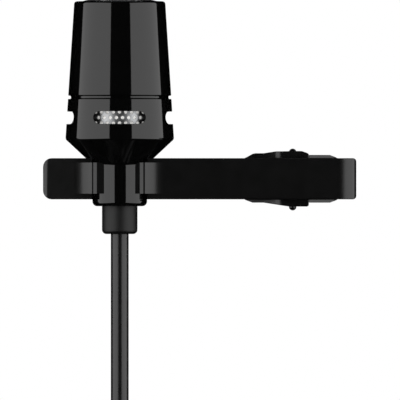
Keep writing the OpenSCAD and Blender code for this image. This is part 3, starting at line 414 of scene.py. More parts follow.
clearSelection()
for side in ("left", "right"):
    plan = studioPlan[side]
    area = plan["wide"] * studioPlan["tall"]
    softbox(side + "Softbox", plan["azimuth"], 0, studioPlan["away"], plan["wide"], studioPlan["tall"],
            studioPlan["wattsPerArea"] * area)
top = studioPlan["top"]
softbox("topSoftbox", top["azimuth"], top["height"], top["away"], top["size"], top["size"], top["watts"])

world = bpy.data.worlds.new("studio")
bpy.context.scene.world = world
world.use_nodes = True
world.node_tree.nodes["Background"].inputs["Color"].default_value = (1, 1, 1, 1)
world.node_tree.nodes["Background"].inputs["Strength"].default_value = 1.0
world.cycles_visibility.glossy = False

clearSelection()
bpy.ops.mesh.primitive_circle_add(
    vertices=96, radius=studioPlan["floor"]["radius"], fill_type="NGON",
    location=(0, 0, studioPlan["floor"]["height"]))
floor = bpy.context.object
floor.name = "floor"
floor.visible_glossy = False
print("studio ready")


# Shader maths: a socket that can be added, subtracted and multiplied
class Value:
    def __init__(self, finish, socket):
        self.finish = finish
        self.socket = socket

    def __add__(self, other):
        return self.finish.maths("ADD", self, other)

    def __radd__(self, other):
        return self.finish.maths("ADD", other, self)

    def __sub__(self, other):
        return self.finish.maths("SUBTRACT", self, other)

    def __rsub__(self, other):
        return self.finish.maths("SUBTRACT", other, self)

    def __mul__(self, other):
        return self.finish.maths("MULTIPLY", self, other)

    def __rmul__(self, other):
        return self.finish.maths("MULTIPLY", other, self)


# One material; its place is the object's own coordinates in millimetres
class Finish:
    def __init__(self, name):
        self.material = bpy.data.materials.new(name)
        self.material.use_nodes = True
        self.tree = self.material.node_tree
        self.shader = self.tree.nodes["Principled BSDF"]
        where = self.node("ShaderNodeTexCoord", output="Object")
        self.place = self.node("ShaderNodeVectorMath", {"operation": "SCALE"}, {0: where, "Scale": 1 / mm})

    def node(self, kind, settings=None, sockets=None, output=0):
        made = self.tree.nodes.new(kind)
        for key, value in (settings or {}).items():
            setattr(made, key, value)
        for key, value in (sockets or {}).items():
            self.feed(made.inputs[key], value)
        return Value(self, made.outputs[output])

    def feed(self, socket, value):
        if isinstance(value, Value):
            self.tree.links.new(value.socket, socket)
        else:
            socket.default_value = value

    def maths(self, operation, a, b):
        return self.node("ShaderNodeMath", {"operation": operation}, {0: a, 1: b})

    # Noise from 0 to 1, whose lumps are about size millimetres; stretch squeezes the place along an axis
    def noise(self, size, detail=2.0, rough=0.5, stretch=None):
        where = self.place
        if stretch:
            where = self.node("ShaderNodeVectorMath", {"operation": "MULTIPLY"}, {0: where, 1: stretch})
        return self.node("ShaderNodeTexNoise", sockets={
            "Vector": where, "Scale": 1 / size, "Detail": detail, "Roughness": rough})

    # Distance from the nearest of scattered points, about size millimetres apart
    def cells(self, size, random=1.0):
        return self.node("ShaderNodeTexVoronoi", {"feature": "F1"}, {
            "Vector": self.place, "Scale": 1 / size, "Randomness": random}, "Distance")

    def axis(self, name):
        return self.node("ShaderNodeSeparateXYZ", sockets={0: self.place}, output=name)

    # A mask that rises smoothly from 0 at low to 1 at high
    def rise(self, value, low, high):
        return self.node("ShaderNodeMapRange", {"interpolation_type": "SMOOTHSTEP"}, {
            "Value": value, "From Min": low, "From Max": high})

    # A colour from a, where the mask is 0, to b; a Mix node's colours are its sockets 6, 7 and 2
    def mix(self, mask, a, b):
        made = self.tree.nodes.new("ShaderNodeMix")
        made.data_type = "RGBA"
        self.feed(made.inputs[0], mask)
        self.feed(made.inputs[6], a if isinstance(a, Value) else (*a, 1))
        self.feed(made.inputs[7], b if isinstance(b, Value) else (*b, 1))
        return Value(self, made.outputs[2])

    # Raises the surface by depth millimetres where height is 1
    def bump(self, height, depth):
        normal = self.node("ShaderNodeBump", sockets={
            "Height": height, "Distance": depth * mm, "Strength": 1.0})
        self.feed(self.shader.inputs["Normal"], normal)

    def set(self, **sockets):
        for key, value in sockets.items():
            self.feed(self.shader.inputs["Base Color" if key == "Colour" else key], value)
        return self.material


# Grain, cloudy colour and uneven gloss with scuffs, which every moulded or machined surface shares
def surface(name, dark, light, rough, spread, grain, depth, metal=0.0, cloud=1.5, specular=0.5, stretch=None):
    finish = Finish(name)
    clouds = finish.noise(cloud, 3.0)
    fine = finish.noise(grain, 3.0, 0.6, stretch)
    finish.bump(fine, depth)
    scuff = finish.rise(finish.noise(0.35, 4.0, 0.7), 0.62, 0.75)    # small duller patches
    return finish.set(
        Colour=finish.mix(clouds, dark, light),
        Roughness=rough + spread * (clouds - 0.5) + spread * 0.6 * scuff,
        Metallic=metal,
        **{"Specular IOR Level": specular},
    )


def grey(level):
    return (level, level, level)


# After the two colours: roughness and its spread, then the grain's size and depth in millimetres
glossBlack = surface("glossBlack", grey(0.0008), grey(0.0014), 0.055, 0.02, 0.9, 0.00025)
clipBlack = surface("clipBlack", grey(0.0006), grey(0.0014), 0.29, 0.06, 0.07, 0.0012, specular=0.58)
bootRubber = surface("bootRubber", grey(0.0008), grey(0.002), 0.5, 0.06, 0.05, 0.0025, specular=0.42)
cableBlack = surface("cableBlack", grey(0.0012), grey(0.003), 0.28, 0.08, 0.09, 0.003, specular=0.6)
latchBlack = surface("latchBlack", grey(0.006), grey(0.01), 0.35, 0.06, 0.06, 0.003)
pinBlack = surface("pinBlack", grey(0.03), grey(0.06), 0.3, 0.1, 0.05, 0.001, metal=1.0)
steel = surface("steel", (0.55, 0.56, 0.58), (0.68, 0.69, 0.7), 0.28, 0.12, 0.06, 0.001, metal=1.0)
screenSteel = surface(
    "screenSteel", (0.35, 0.355, 0.365), (0.45, 0.455, 0.46), 0.34, 0.1, 0.06, 0.001, metal=1.0)
springSteel = surface(
    "springSteel", (0.42, 0.43, 0.45), (0.6, 0.61, 0.62), 0.26, 0.12, 0.04, 0.001, metal=1.0)
canMetal = surface("canMetal", (0.62, 0.63, 0.65), (0.74, 0.75, 0.76), 0.3, 0.12, 0.05, 0.001, metal=1.0)
brassGold = surface("brassGold", (0.75, 0.52, 0.2), (0.88, 0.66, 0.32), 0.24, 0.1, 0.05, 0.0008, metal=1.0)
plugMetal = surface(
    "plugMetal", (0.36, 0.36, 0.37), (0.46, 0.46, 0.47), 0.3, 0.1, 0.05, 0.0015, metal=1.0, stretch=(1, 1, 6))
plugPlastic = surface("plugPlastic", grey(0.008), grey(0.014), 0.4, 0.08, 0.08, 0.002)
mouldedGrey = surface("mouldedGrey", grey(0.03), grey(0.045), 0.45, 0.08, 0.1, 0.003)
insulatorWhite = surface("insulatorWhite", (0.72, 0.71, 0.67), (0.8, 0.79, 0.75), 0.4, 0.08, 0.1, 0.002)
gasketRubber = surface("gasketRubber", grey(0.012), grey(0.022), 0.6, 0.1, 0.05, 0.004)
filmGold = surface("filmGold", (0.7, 0.6, 0.38), (0.85, 0.75, 0.5), 0.2, 0.06, 0.5, 0.0006, metal=0.8)
paleFloor = surface("paleFloor", grey(0.76), grey(0.8), 0.8, 0.05, 4.0, 0.02, cloud=120)


def feltWhite():
    finish = Finish("feltWhite")
    fibres = finish.noise(0.05, 4.0, 0.7, (1, 1, 3))
    tufts = finish.noise(0.22, 3.0, 0.6)
    finish.bump(fibres * 0.6 + tufts * 0.6, 0.03)
    shade = finish.rise(tufts, 0.3, 0.65)
    felt = finish.mix(shade, (0.62, 0.61, 0.58), (0.88, 0.87, 0.85))
    paintedGlow = {"Emission Color": felt, "Emission Strength": 0.35}    # painted glow: the felt emits its own colour, in place of light that comes through the cloth
    return finish.set(Colour=felt, Roughness=0.92, **paintedGlow)


def foamGrey():
    finish = Finish("foamGrey")
    pores = finish.cells(0.16)
    finish.bump(finish.rise(pores, 0.1, 0.7), 0.08)
    # Painted shade: the colour darkens towards each pore's middle, where the bump sinks
    return finish.set(
        Colour=finish.mix(finish.rise(pores, 0.15, 0.6), (0.008, 0.008, 0.009), (0.06, 0.06, 0.062)),
        Roughness=0.95,
    )


# Tinned pads under a green board
def boardGreen(padTop):
    finish = Finish("boardGreen")
    pad = 1 - finish.rise(finish.axis("Z"), padTop - 0.02, padTop)
    weave = finish.noise(0.3, 2.0, 0.5, (1, 4, 1))
    finish.bump(weave, 0.004)
    board = finish.mix(weave, (0.01, 0.09, 0.035), (0.015, 0.14, 0.05))
    return finish.set(
        Colour=finish.mix(pad, board, (0.7, 0.7, 0.69)),
        Metallic=pad,
        Roughness=0.38 - 0.1 * pad + 0.08 * weave,
    )


# Insulation of another colour on each wire, told apart by the wire's own mark
def wireColours(colours):
    finish = Finish("wireColours")
    mark = finish.node("ShaderNodeAttribute", {"attribute_name": "wireMark"}, output="Fac")
    colour = colours[0]
    for number, other in enumerate(colours[1:]):
        chosen = finish.rise(mark, number + 0.4, number + 0.6)
        colour = finish.mix(chosen, colour, other)
    finish.bump(finish.noise(0.08, 2.0), 0.003)
    return finish.set(Colour=colour, Roughness=0.4 + 0.1 * finish.noise(0.5))


# Loops of a hook-and-loop strap
def tieBlack():
    finish = Finish("tieBlack")
    loops = finish.cells(0.3, random=0.8)
    fuzz = finish.noise(0.1, 4.0, 0.7)
    finish.bump(1 - loops + 0.5 * fuzz, 0.07)
    shade = finish.rise(loops - 0.3 * fuzz, 0.0, 0.6)
    return finish.set(Colour=finish.mix(shade, (0.02, 0.02, 0.021), (0.004, 0.004, 0.004)), Roughness=0.85)


print("finishes ready")
micCable.data.materials.append(cableBlack)

# Microphone shell: close to the solids' sizes, with finer edges
shell = {
    "rimRadius": 5.23, "skirtRadius": 6.24, "barrelRadius": 3.14,
    "barrelLow": -3.15, "coneLow": 1.66, "coneAngle": 47,
    "skirtHeight": 4.62, "grooveHeight": 0.39, "grooveDepth": 0.33, "spigotDepth": 0.42, "capHeight": 10.84,
    "rimWall": 0.38, "skirtWall": 0.95, "barrelWall": 0.67, "lip": 0.5, "lipLand": 0.44,
    "rimEdge": 0.32, "skirtEdge": 0.4, "footEdge": 0.55, "grooveEdge": 0.08, "neckFillet": 0.55,
    "fineEdge": 0.06,
    "spigot": 1.6, "flange": 0.45, "chamberRise": 0.7, "throatRise": 0.9, "barrelLip": 0.6,
    "screen": 0.2, "felt": 0.3,
    "splitGap": 0.01,       # between cap and housing, at the groove's floor
}
slotPlan = {
    "count": 4, "width": 6.0, "height": 1.45, "rise": 2.46, "arcSteps": 16,
    "start": 1,             # of the cutters, inside the chamber's wall
    "margin": 0.2,          # to the rows of points above and below
    "rimReach": 0.05,       # past the slots' height, for what is a rim
    "rimDepth": 0.4,        # outside the chamber's wall, for what is a rim
    "weld": 0.06, "bevel": 0.04,
}
neck = math.tan(math.radians(shell["coneAngle"]))
coneHigh = shell["coneLow"] + (shell["skirtRadius"] - shell["barrelRadius"]) / neck
splitLow = coneHigh + shell["skirtHeight"]
splitHigh = splitLow + shell["grooveHeight"]
headTop = splitHigh + shell["capHeight"]
spigotTop = splitHigh + shell["spigot"]
shoulder = spigotTop + shell["flange"]
lipLow = headTop - shell["lip"]
chamberLow = coneHigh + shell["chamberRise"]
slotZ = coneHigh + slotPlan["rise"]


# The outside's radius at a height of the skirt or cap
def shellSide(z):
    run = shell["skirtRadius"] - shell["rimRadius"]
    return shell["skirtRadius"] - (z - coneHigh) * run / (headTop - coneHigh)


spigotRadius = shellSide(splitLow) - shell["spigotDepth"]
grooveFloor = shellSide(splitLow) - shell["grooveDepth"]
grooveMiddle = splitLow + shell["grooveHeight"] / 2
grooveRound = shell["grooveHeight"] / 2 - 0.05    # leaves room for the corner's support
capBore = shell["rimRadius"] - shell["rimWall"]
rimOpen = shell["rimRadius"] - shell["rimEdge"] - shell["lipLand"]
chamberRadius = shellSide(splitLow) - shell["skirtWall"]
barrelBore = shell["barrelRadius"] - shell["barrelWall"]


def frontCap():
    fine = shell["fineEdge"]
    outline = rounded([
        (spigotRadius + fit, grooveMiddle),
        (grooveFloor, grooveMiddle),
        (grooveFloor, splitHigh, grooveRound),
        (shellSide(splitHigh), splitHigh, shell["grooveEdge"]),
        (shell["rimRadius"], headTop, shell["rimEdge"]),
        (rimOpen, headTop, fine),
        (rimOpen, lipLow),
        (capBore, lipLow),
        (capBore, shoulder),
        (spigotRadius + fit, shoulder),
    ])
    place(lathe("frontCap", outline), "mic", "shell_black", glossBlack, "front_cap")


# Round-ended cutters for the slots, which reach out through the skirt
def slotCutter():
    run = (slotPlan["width"] - slotPlan["height"]) / 2
    half = slotPlan["height"] / 2
    angles = [math.radians(-90 + 180 * k / slotPlan["arcSteps"]) for k in range(slotPlan["arcSteps"] + 1)]
    arcs = [(sign * (run + half * math.cos(a)), sign * half * math.sin(a))
            for sign in (1, -1) for a in angles]
    start = axisY - chamberRadius + slotPlan["start"]
    cutter = drawLine("slotCutter", [(x, start, slotZ + z) for x, z in arcs])
    bpy.ops.mesh.edge_face_add()
    reach = (0, -shell["skirtRadius"] * mm, 0)
    bpy.ops.mesh.extrude_region_move(TRANSFORM_OT_translate={"value": reach})
    bpy.ops.mesh.select_all(action="SELECT")
    copyRound(slotPlan["count"], axisY)
    bpy.ops.mesh.select_all(action="SELECT")
    bpy.ops.mesh.normals_make_consistent(inside=False)
    bpy.ops.object.mode_set(mode="OBJECT")
    return cutter


def portHousing():
    fine = shell["fineEdge"]
    ledge = shell["screen"] + shell["felt"] + 4 * fit
    bootHole = bootPlan["radius"] + fit
    bootSeat = shell["barrelLow"] + shell["barrelLip"]
    half = slotPlan["height"] / 2
    rows = (slotZ - half - slotPlan["margin"], slotZ, slotZ + half + slotPlan["margin"])
    seam = grooveMiddle - shell["splitGap"]
    obj = lathe("portHousing", rounded([
        (bootHole, shell["barrelLow"], fine),
        (shell["barrelRadius"], shell["barrelLow"], shell["footEdge"]),
        (shell["barrelRadius"], shell["coneLow"], shell["neckFillet"]),
        (shell["skirtRadius"], coneHigh, shell["skirtEdge"]),
        *[(shellSide(z), z) for z in rows],
        (shellSide(splitLow), splitLow, shell["grooveEdge"]),
        (grooveFloor, splitLow, grooveRound),
        (grooveFloor, seam),
        (spigotRadius, seam),
        (spigotRadius, spigotTop, fine),
        (chamberRadius, spigotTop, fine),
        (chamberRadius, chamberLow),
        (chamberRadius - ledge, chamberLow),
        (barrelBore, shell["coneLow"] + shell["throatRise"]),
        (barrelBore, bootSeat),
        (bootHole, bootSeat),
    ]))
    carve(obj, slotCutter())

    def slotRim(a, b):
        p = (a + b) / 2
        away = math.hypot(p.x, p.y - axisY)
        return abs(p.z - slotZ) < half + slotPlan["rimReach"] and away > chamberRadius + slotPlan["rimDepth"]

    # Slivers along the rims would let their bevels cross
    pick(obj)
    spots = [vertex.co / mm for vertex in obj.data.vertices]
    for items in (obj.data.polygons, obj.data.edges):
        items.foreach_set("select", [False] * len(items))
    obj.data.vertices.foreach_set("select", [slotRim(spot, spot) for spot in spots])
    bpy.ops.object.mode_set(mode="EDIT")
    bpy.ops.mesh.remove_doubles(threshold=slotPlan["weld"] * mm)
    bpy.ops.object.mode_set(mode="OBJECT")
    bevelSharp(obj, slotPlan["bevel"], slotRim, degrees=50)
    place(evenNormals(obj, 40), "mic", "shell_black", glossBlack, "port_housing")


# Soft rings inside the shell
def softRing(name, outer, inner, low, high, edge):
    corners = [(inner, low, edge), (outer, low, edge), (outer, high, edge), (inner, high, edge)]
    return lathe(name, rounded(corners, steps=4), steps=96)


feltPlan = {"headroom": 0.1, "edge": 0.08}


def portFelt():
    outer = chamberRadius - shell["screen"] - 2 * fit
    high = splitLow - feltPlan["headroom"]
    obj = softRing("portFelt", outer, outer - shell["felt"], chamberLow, high, feltPlan["edge"])
    place(obj, "mic", "felt_white", feltWhite(), "port_felt")


gasketPlan = {"wall": 0.9, "edge": 0.15}


def frontGasket():
    low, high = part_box("front_gasket")
    outer = (high[0] - low[0]) / 2 / mm
    inner = outer - gasketPlan["wall"]
    obj = softRing("frontGasket", outer, inner, low[2] / mm, high[2] / mm, gasketPlan["edge"])
    place(obj, "mic", "gasket_rubber", gasketRubber, "front_gasket")


foamPlan = {"grille": 0.2, "gap": 0.1, "lowEdge": 0.3, "ledgeEdge": 0.2, "topEdge": 0.25}


# A stepped disc, whose neck stands in the cap's opening. Rings of points on its flats keep the fans at the
# axis small
def grilleFoam():
    low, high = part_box("grille_foam")
    bottom, height = low[2] / mm, high[2] / mm
    wide = (high[0] - low[0]) / 2 / mm
    narrow = rimOpen - fit - foamPlan["grille"] - foamPlan["gap"]
    ledge = lipLow - foamPlan["grille"]
    outline = rounded([
        (0, bottom),
        (wide * 0.5, bottom),
        (wide, bottom, foamPlan["lowEdge"]),
        (wide, ledge, foamPlan["ledgeEdge"]),
        (narrow, ledge),
        (narrow, height, foamPlan["topEdge"]),
        (narrow * 0.66, height),
        (narrow * 0.33, height),
        (0, height),
    ], closed=False)
    obj = lathe("grilleFoam", outline, steps=96)
    place(obj, "mic", "foam_grey", foamGrey(), "grille_foam")


bootPlan = {"radius": 2.04, "length": 3.2, "flange": 0.8, "edge": 0.5, "mouthEdge": 0.12, "flangeEdge": 0.1}


def strainBoot():
    low = shell["barrelLow"] - bootPlan["length"]
    seat = shell["barrelLow"] + shell["barrelLip"]
    outline = rounded([
        (cordBore, low, bootPlan["mouthEdge"]),
        (bootPlan["radius"], low, bootPlan["edge"]),
        (bootPlan["radius"], seat),
        (barrelBore - fit, seat, bootPlan["flangeEdge"]),
        (barrelBore - fit, seat + bootPlan["flange"], bootPlan["flangeEdge"]),
        (cordBore, seat + bootPlan["flange"], bootPlan["flangeEdge"]),
    ])
    place(lathe("strainBoot", outline), "mic", "boot_black", bootRubber, "strain_boot")


# A stub of cable with a rounded cut end, from one height to another
def cableStub(name, cutEnd, farEnd, y, node):
    outline = rounded([
        (0, cutEnd),
        (cordRadius, cutEnd, cablePlan["cutEdge"]),
        (cordRadius, farEnd),
        (0, farEnd),
    ], closed=False)
    return place(lathe(name, outline, y, 48), "mic", "cable_black", cableBlack, node)


wirePlan = {
    "diameter": 0.56, "steps": 12,
    "near": 0.6,            # from the cable's axis, where they leave it
    "clear": 0.3,           # from the cable's cut end
    "stop": 0.15,           # before the solder points
    "colours": [(0.5, 0.02, 0.015), (0.55, 0.55, 0.52), (0.02, 0.06, 0.35), (0.02, 0.2, 0.04)],
}


# Wires that leave the cable close together and spread to their solder points in a soft bend
def leadWires(name, node, y, cutEnd, goal, count, turn, spread):
    way = math.copysign(1, goal - cutEnd)
    start = cutEnd + way * wirePlan["clear"]
    end = goal - way * wirePlan["stop"]
    near = wirePlan["near"]
    paths = []
    for k in range(count):
        a = math.radians(turn + 360 * k / count)
        path = []
        for i in range(wirePlan["steps"] + 1):
            t = i / wirePlan["steps"]
            r = near + (spread - near) * t * t * (3 - 2 * t)
            path.append((r * math.cos(a), y + r * math.sin(a), start + (end - start) * t))
        paths.append(path)
    obj = wires(name, paths, wirePlan["diameter"])
    mark = obj.data.attributes.new("wireMark", "FLOAT", "POINT")
    for vertex in obj.data.vertices:
        angle = math.degrees(math.atan2(vertex.co.y / mm - y, vertex.co.x / mm)) - turn
        mark.data[vertex.index].value = round(angle / 360 * count) % count
    return place(obj, "mic", "wire_red", wireColours(wirePlan["colours"][:count]), node)


frontCap()
portHousing()
portFelt()
frontGasket()
grilleFoam()
strainBoot()
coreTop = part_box("cable_core")[1][2] / mm
cableStub("cableCore", coreTop, cablePlan["bootEnd"], axisY, "cable_core")
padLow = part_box("capsule_board")[0][2] / mm
leadWires("capsuleLeads", "lead_wires", axisY, coreTop, padLow, count=3, turn=90, spread=1.6)
print("microphone dressed")

# Clip: bar, lever and spring. The pin stands upright here
pivot = Vector((19.9, -2.6, 0))
clipEdge = 0.1

barPlan = {
    "half": 2.365, "face": -6.3, "rimAhead": -0.5,
    "jawEnd": -8.8, "endRadius": 0.5, "leanStart": -5.25, "leanBack": -5.3, "lean": 0.06,
    # the solid's round corner at the tail, then the curve that takes its place
    "tailEnd": 27.2, "tailEdge": 1.67, "tailFrom": 25.5,
    "tailStart": 25.17, "tailRadius": 2.6, "tailBend": 26.5, "tailCorner": 26.88, "tailHook": 8,
    # the solid's even ramps beside the ring, then how far out and forward each of their steps goes
    "ringLow": -1.72, "ringHigh": 1.87, "crest": 3.15, "rampStep": 0.125,
    "ramp": [(3.02, 0.8), (3.17, 0.8), (3.3, 0.66), (3.43, 0.53), (3.57, 0.42), (3.72, 0.32), (3.88, 0.235),
             (4.05, 0.165), (4.24, 0.108), (4.45, 0.066), (4.68, 0.034), (4.92, 0.012), (5.2, 0)],
    "lip": 2.62, "lipRise": 0.6, "lipFrom": 2.4, "lipTo": 2.6, "lipAhead": -6.99,
    "rightShift": 0.3, "rightSpread": 1.25,
}


# The long rims above and below the bar's face
def barRim(a, b):
    p = (a + b) / 2
    return abs(abs(p.z) - barPlan["half"]) < onLine and p.y < barPlan["rimAhead"]


# The tail's round corner, drawn out to a flatter curve that hooks back at its end
def tailPoint(x):
    first = barPlan["tailEnd"] - barPlan["tailEdge"]
    bend = barPlan["tailBend"]
    radius = barPlan["tailRadius"]
    out = x - (first - barPlan["tailStart"]) * max(0, (bend - x) / (bend - first)) ** 2
    run = min(out, bend) - barPlan["tailStart"]
    rise = math.sqrt(radius ** 2 - run ** 2)
    beyond = max(0, out - bend) * run / rise
    beyond += barPlan["tailHook"] * max(0, out - barPlan["tailCorner"]) ** 2
    return out, barPlan["face"] + radius - rise + beyond


# The bar's face leans back to a rounded jaw end and curves back at the tail, and the ring's two arms run out
# softly into it
def barShape(x, y, z):
    face = barPlan["face"]
    side = abs(x)
    onFace = y < face + 0.001
    if x < barPlan["leanStart"] and y < barPlan["leanBack"]:
        radius = barPlan["endRadius"]
        past = min(0, x - (barPlan["jawEnd"] + radius))
        leaning = face + barPlan["lean"] * (barPlan["leanStart"] - x)
        return (x, leaning + radius - math.sqrt(max(0, radius ** 2 - past ** 2)), z)
    edge = barPlan["tailEdge"]
    arc = math.hypot(x - barPlan["tailEnd"] + edge, y - face - edge)
    if x > barPlan["tailFrom"] and y < face + edge + 0.001 and abs(arc - edge) < onLine:
        return (*tailPoint(x), z)
    if not (onFace and barPlan["ringLow"] < z < barPlan["ringHigh"]):
        return (x, y, z)
    shift = barPlan["rightShift"] if x > 0 else 0
    step = (side - barPlan["crest"]) / barPlan["rampStep"]
    number = round(step)
    if 0 <= number < len(barPlan["ramp"]) and abs(step - number) < onLine:
        out, rise = barPlan["ramp"][number]
        if x > 0:
            first = barPlan["ramp"][0][0]
            out = first - shift + (out - first) * barPlan["rightSpread"]
        return (math.copysign(out, x), face - rise, z)
    if side < barPlan["lipTo"]:
        onLip = side > barPlan["lipFrom"] and y < barPlan["lipAhead"]
        out = barPlan["lip"] - shift if onLip else side
        return (math.copysign(out, x), max(y, face - barPlan["lipRise"]), z)
    return (x, y, z)


leverPlan = {
    "armHalf": 2.0, "armEnd": 13, "earHalf": 2.745, "earInner": 2.3, "bossOuter": 2.8, "pinRadius": 1.0,
    "earFront": -4.1, "earBend": 21.75, "earCorner": 2.077, "bossBend": 20.95, "bossTaper": 0.65,
    "earSkin": 2.43, "earLift": 0.2, "liftAt": [14.6, 15.6, 17.9, 19.3],
    "frontFrom": 20.8, "frontTo": 22, "frontAhead": -3,    # the ears' front corners
    "backFrom": 24, "backAhead": 2.3, "backBehind": 1,     # and their back ones
    "earFrom": 21, "earTo": 22.5, "earAhead": -2,          # edges left sharp on the ears
    "bossFrom": 21.2, "bossTo": 22,                        # and on the bosses
}


# The arm's long edges, the ears' outlines and the rims of their bosses, clear of the pin's hole
def leverRim(a, b):
    p = (a + b) / 2
    side = abs(p.z)
    if abs(side - leverPlan["armHalf"]) < onLine:
        return p.x < leverPlan["armEnd"]
    if abs(side - leverPlan["earHalf"]) < onLine:
        bare = leverPlan["earFrom"] < p.x < leverPlan["earTo"] and p.y < leverPlan["earAhead"]
        return abs(a.z - b.z) < onLine / 2 and not bare
    bare = leverPlan["bossFrom"] < p.x < leverPlan["bossTo"] or (p - pivot).xy.length < leverPlan["pinRadius"]
    return side > leverPlan["bossOuter"] and not bare


# The ears' front edges slope straight back from the bosses to the thumb end. The upper ear is thicker before
# the pin, and its boss runs down behind it
def leverShape(x, y, z):
    ear = leverPlan["earHalf"]
    first, full, last, end = leverPlan["liftAt"]
    if z > leverPlan["earSkin"]:
        z += leverPlan["earLift"] * max(0, min(1, (x - first) / (full - first), (end - x) / (end - last)))
    taper = (x - leverPlan["bossBend"]) / (leverPlan["earBend"] - leverPlan["bossBend"])
    if z > ear and 0 < taper < 1.001:
        z = ear + (z - ear) * (1 - leverPlan["bossTaper"] * taper)
    if abs(z) < leverPlan["earInner"] or x < leverPlan["frontFrom"]:
        return (x, y, z)
    slope = leverPlan["earFront"] + max(0, x - leverPlan["earBend"])
    if y < leverPlan["frontAhead"] and x < leverPlan["frontTo"]:
        return (x, slope, z)
    if x > leverPlan["backFrom"] and leverPlan["backBehind"] < y < leverPlan["backAhead"]:
        return (x, slope + max(0, y - leverPlan["earCorner"]), z)
    return (x, y, z)


def clipPiece(name, node, body, test, shape, cuts):
    place(softened(name, node, clipEdge, test, shape, cuts), body, "clip_black", clipBlack, node)


clipPiece("clipBar", "clip_bar", "clip", barRim, barShape, [barPlan["leanStart"]])
clipPiece("jawLever", "jaw_lever", "jaw", leverRim, leverShape, [*leverPlan["liftAt"], leverPlan["bossBend"]])

springPlan = {
    "wire": 0.4, "radius": 1.15, "turns": 3, "clear": 0.09, "legAngle": 65, "stepAngle": 15,
    "channelHalf": 1.465, "channelFloor": -5.1,          # the bar's
    "throat": 1.2, "tabStart": 2.9, "tabAngle": 16,      # the lever's
}


# Both legs point towards the thumb end: one ends on the floor of the bar's channel, one at the lever's tab
def jawSpring(plan):
    leg = math.radians(plan["legAngle"])
    start = 90 - plan["legAngle"]
    run = 360 * plan["turns"] - 2 * start
    wire = plan["wire"]
    pitch = 360 / run * (2 * (plan["channelHalf"] - plan["clear"]) - wire)
    radius = plan["radius"]
    tab = math.tan(math.radians(plan["tabAngle"]))
    foot = Vector((radius * math.cos(math.radians(start)), radius * math.sin(math.radians(start))))
    barLeg = (pivot.y + foot.y - plan["channelFloor"] - wire / 2 - fit) / math.sin(leg)
    endX = (plan["throat"] - pivot.y + foot.y + plan["tabStart"] * tab
            - (wire / 2 + fit) / math.cos(math.atan(tab)) + foot.x * math.tan(leg)) / (math.tan(leg) - tab)
    leverLeg = (endX - foot.x) / math.cos(leg)

    def turnPoint(angle):
        a = math.radians(angle)
        rise = pitch * (angle - start - run / 2) / 360
        return pivot + Vector((radius * math.cos(a), radius * math.sin(a), rise))

    steps = round(run / plan["stepAngle"])
    turns = [turnPoint(start + run * i / steps) for i in range(steps + 1)]
    first = turns[0] + barLeg * Vector((math.cos(leg), -math.sin(leg), 0))
    final = turns[-1] + leverLeg * Vector((math.cos(leg), math.sin(leg), 0))
    obj = wires("jawSpring", [[first] + turns + [final]], wire)
    place(obj, None, "spring_steel", springSteel, "jaw_spring")
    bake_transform(obj)


jawSpring(springPlan)
print("clip dressed")

# Tie round the coil: a strap whose end laps over itself in front
tiePlan = {
    "angle": 118, "width": 4.5, "thickness": 0.8, "slack": 0.1, "edge": 0.14,
    "lap": 0.5, "lapGap": 0.02, "lapInset": 1.5, "lapMiddle": 4,
}


def cableTie(plan):
    swell = cablePlan["pitch"] / 8    # the most that a turn stands out between two layers
    bulge = plan["width"] ** 2 / 8 / (coil["inner"] - cordRadius)    # of the coil under the flat strap
    turn = math.radians(-plan["angle"])

    def spot(p, across):
        return (p[0] * math.cos(turn) + across * math.sin(turn), axisY + p[1],
                coil["middle"] - p[0] * math.sin(turn) + across * math.cos(turn))

    def strap(name, line, closed, thick):
        half = plan["width"] / 2
        obj = drawLine(name, [spot(p, -half) for p in line], closed)
        wide = Vector(spot((0, 0), half)) - Vector(spot((0, 0), -half))
        bpy.ops.mesh.extrude_region_move(TRANSFORM_OT_translate={"value": wide * mm})
        bpy.ops.mesh.select_all(action="SELECT")
        bpy.ops.mesh.normals_make_consistent(inside=False)
        bpy.ops.object.mode_set(mode="OBJECT")
        wall = obj.modifiers.new("wall", "SOLIDIFY")
        wall.thickness = thick * mm
        wall.offset = 0
        wall.use_even_offset = True
        edge = obj.modifiers.new("edge", "BEVEL")
        edge.width = plan["edge"] * mm
        edge.segments = 2
        edge.limit_method = "ANGLE"
        edge.angle_limit = math.radians(50)
        applyModifiers(obj)
        return evenNormals(obj)

    grow = plan["thickness"] / 2
    low = coil["inner"] - swell - cordRadius - bulge - plan["slack"] - grow
    high = coil["outer"] + swell + cordRadius + plan["slack"] + grow
    front = -cordRadius - plan["slack"] - grow
    behind = (cablePlan["layers"] - 1) * cablePlan["pitch"] + cordRadius + plan["slack"] + grow
    r = cordRadius / 2 + grow
    loop = rounded([(low, front, r), (high, front, r), (high, behind, r), (low, behind, r)], support=0)
    band = strap("cableTie", loop, True, plan["thickness"])
    out = front - (plan["thickness"] + plan["lap"]) / 2 - plan["lapGap"]
    lapLine = [(low + plan["lapInset"], out), (low + plan["lapMiddle"], out), (high - plan["lapInset"], out)]
    lap = strap("tieLap", lapLine, False, plan["lap"])
    pick(band)
    lap.select_set(True)
    bpy.ops.object.join()
    return place(band, "mic", "tie_black", tieBlack(), "cable_tie")


plugPieces = [cableTie(tiePlan)]

# Plug, from its relief down
plugEdge = 0.12
reliefPlan = {
    "length": 12, "tipRadius": 2.0, "baseRadius": 3.3, "foot": 1.2,
    "rings": 4, "ringSlot": 0.8, "ringCut": 0.5,
    "mouthEdge": 0.1, "tipEdge": 0.3, "ringEdge": 0.14, "footEdge": 0.08,
}
nutPlan = {
    "cover": 1.0, "bore": 4.1, "radius": 5.0, "length": 6, "spigot": 2.5, "shellBore": 4.7,
    "mouthGap": 0.1, "spigotGap": 0.03, "topEdge": 0.5, "boreEdge": 0.08,
    "flutes": 12, "fluteRadius": 0.6, "fluteDepth": 0.25,
}
nutHigh = plugTop - reliefPlan["length"]


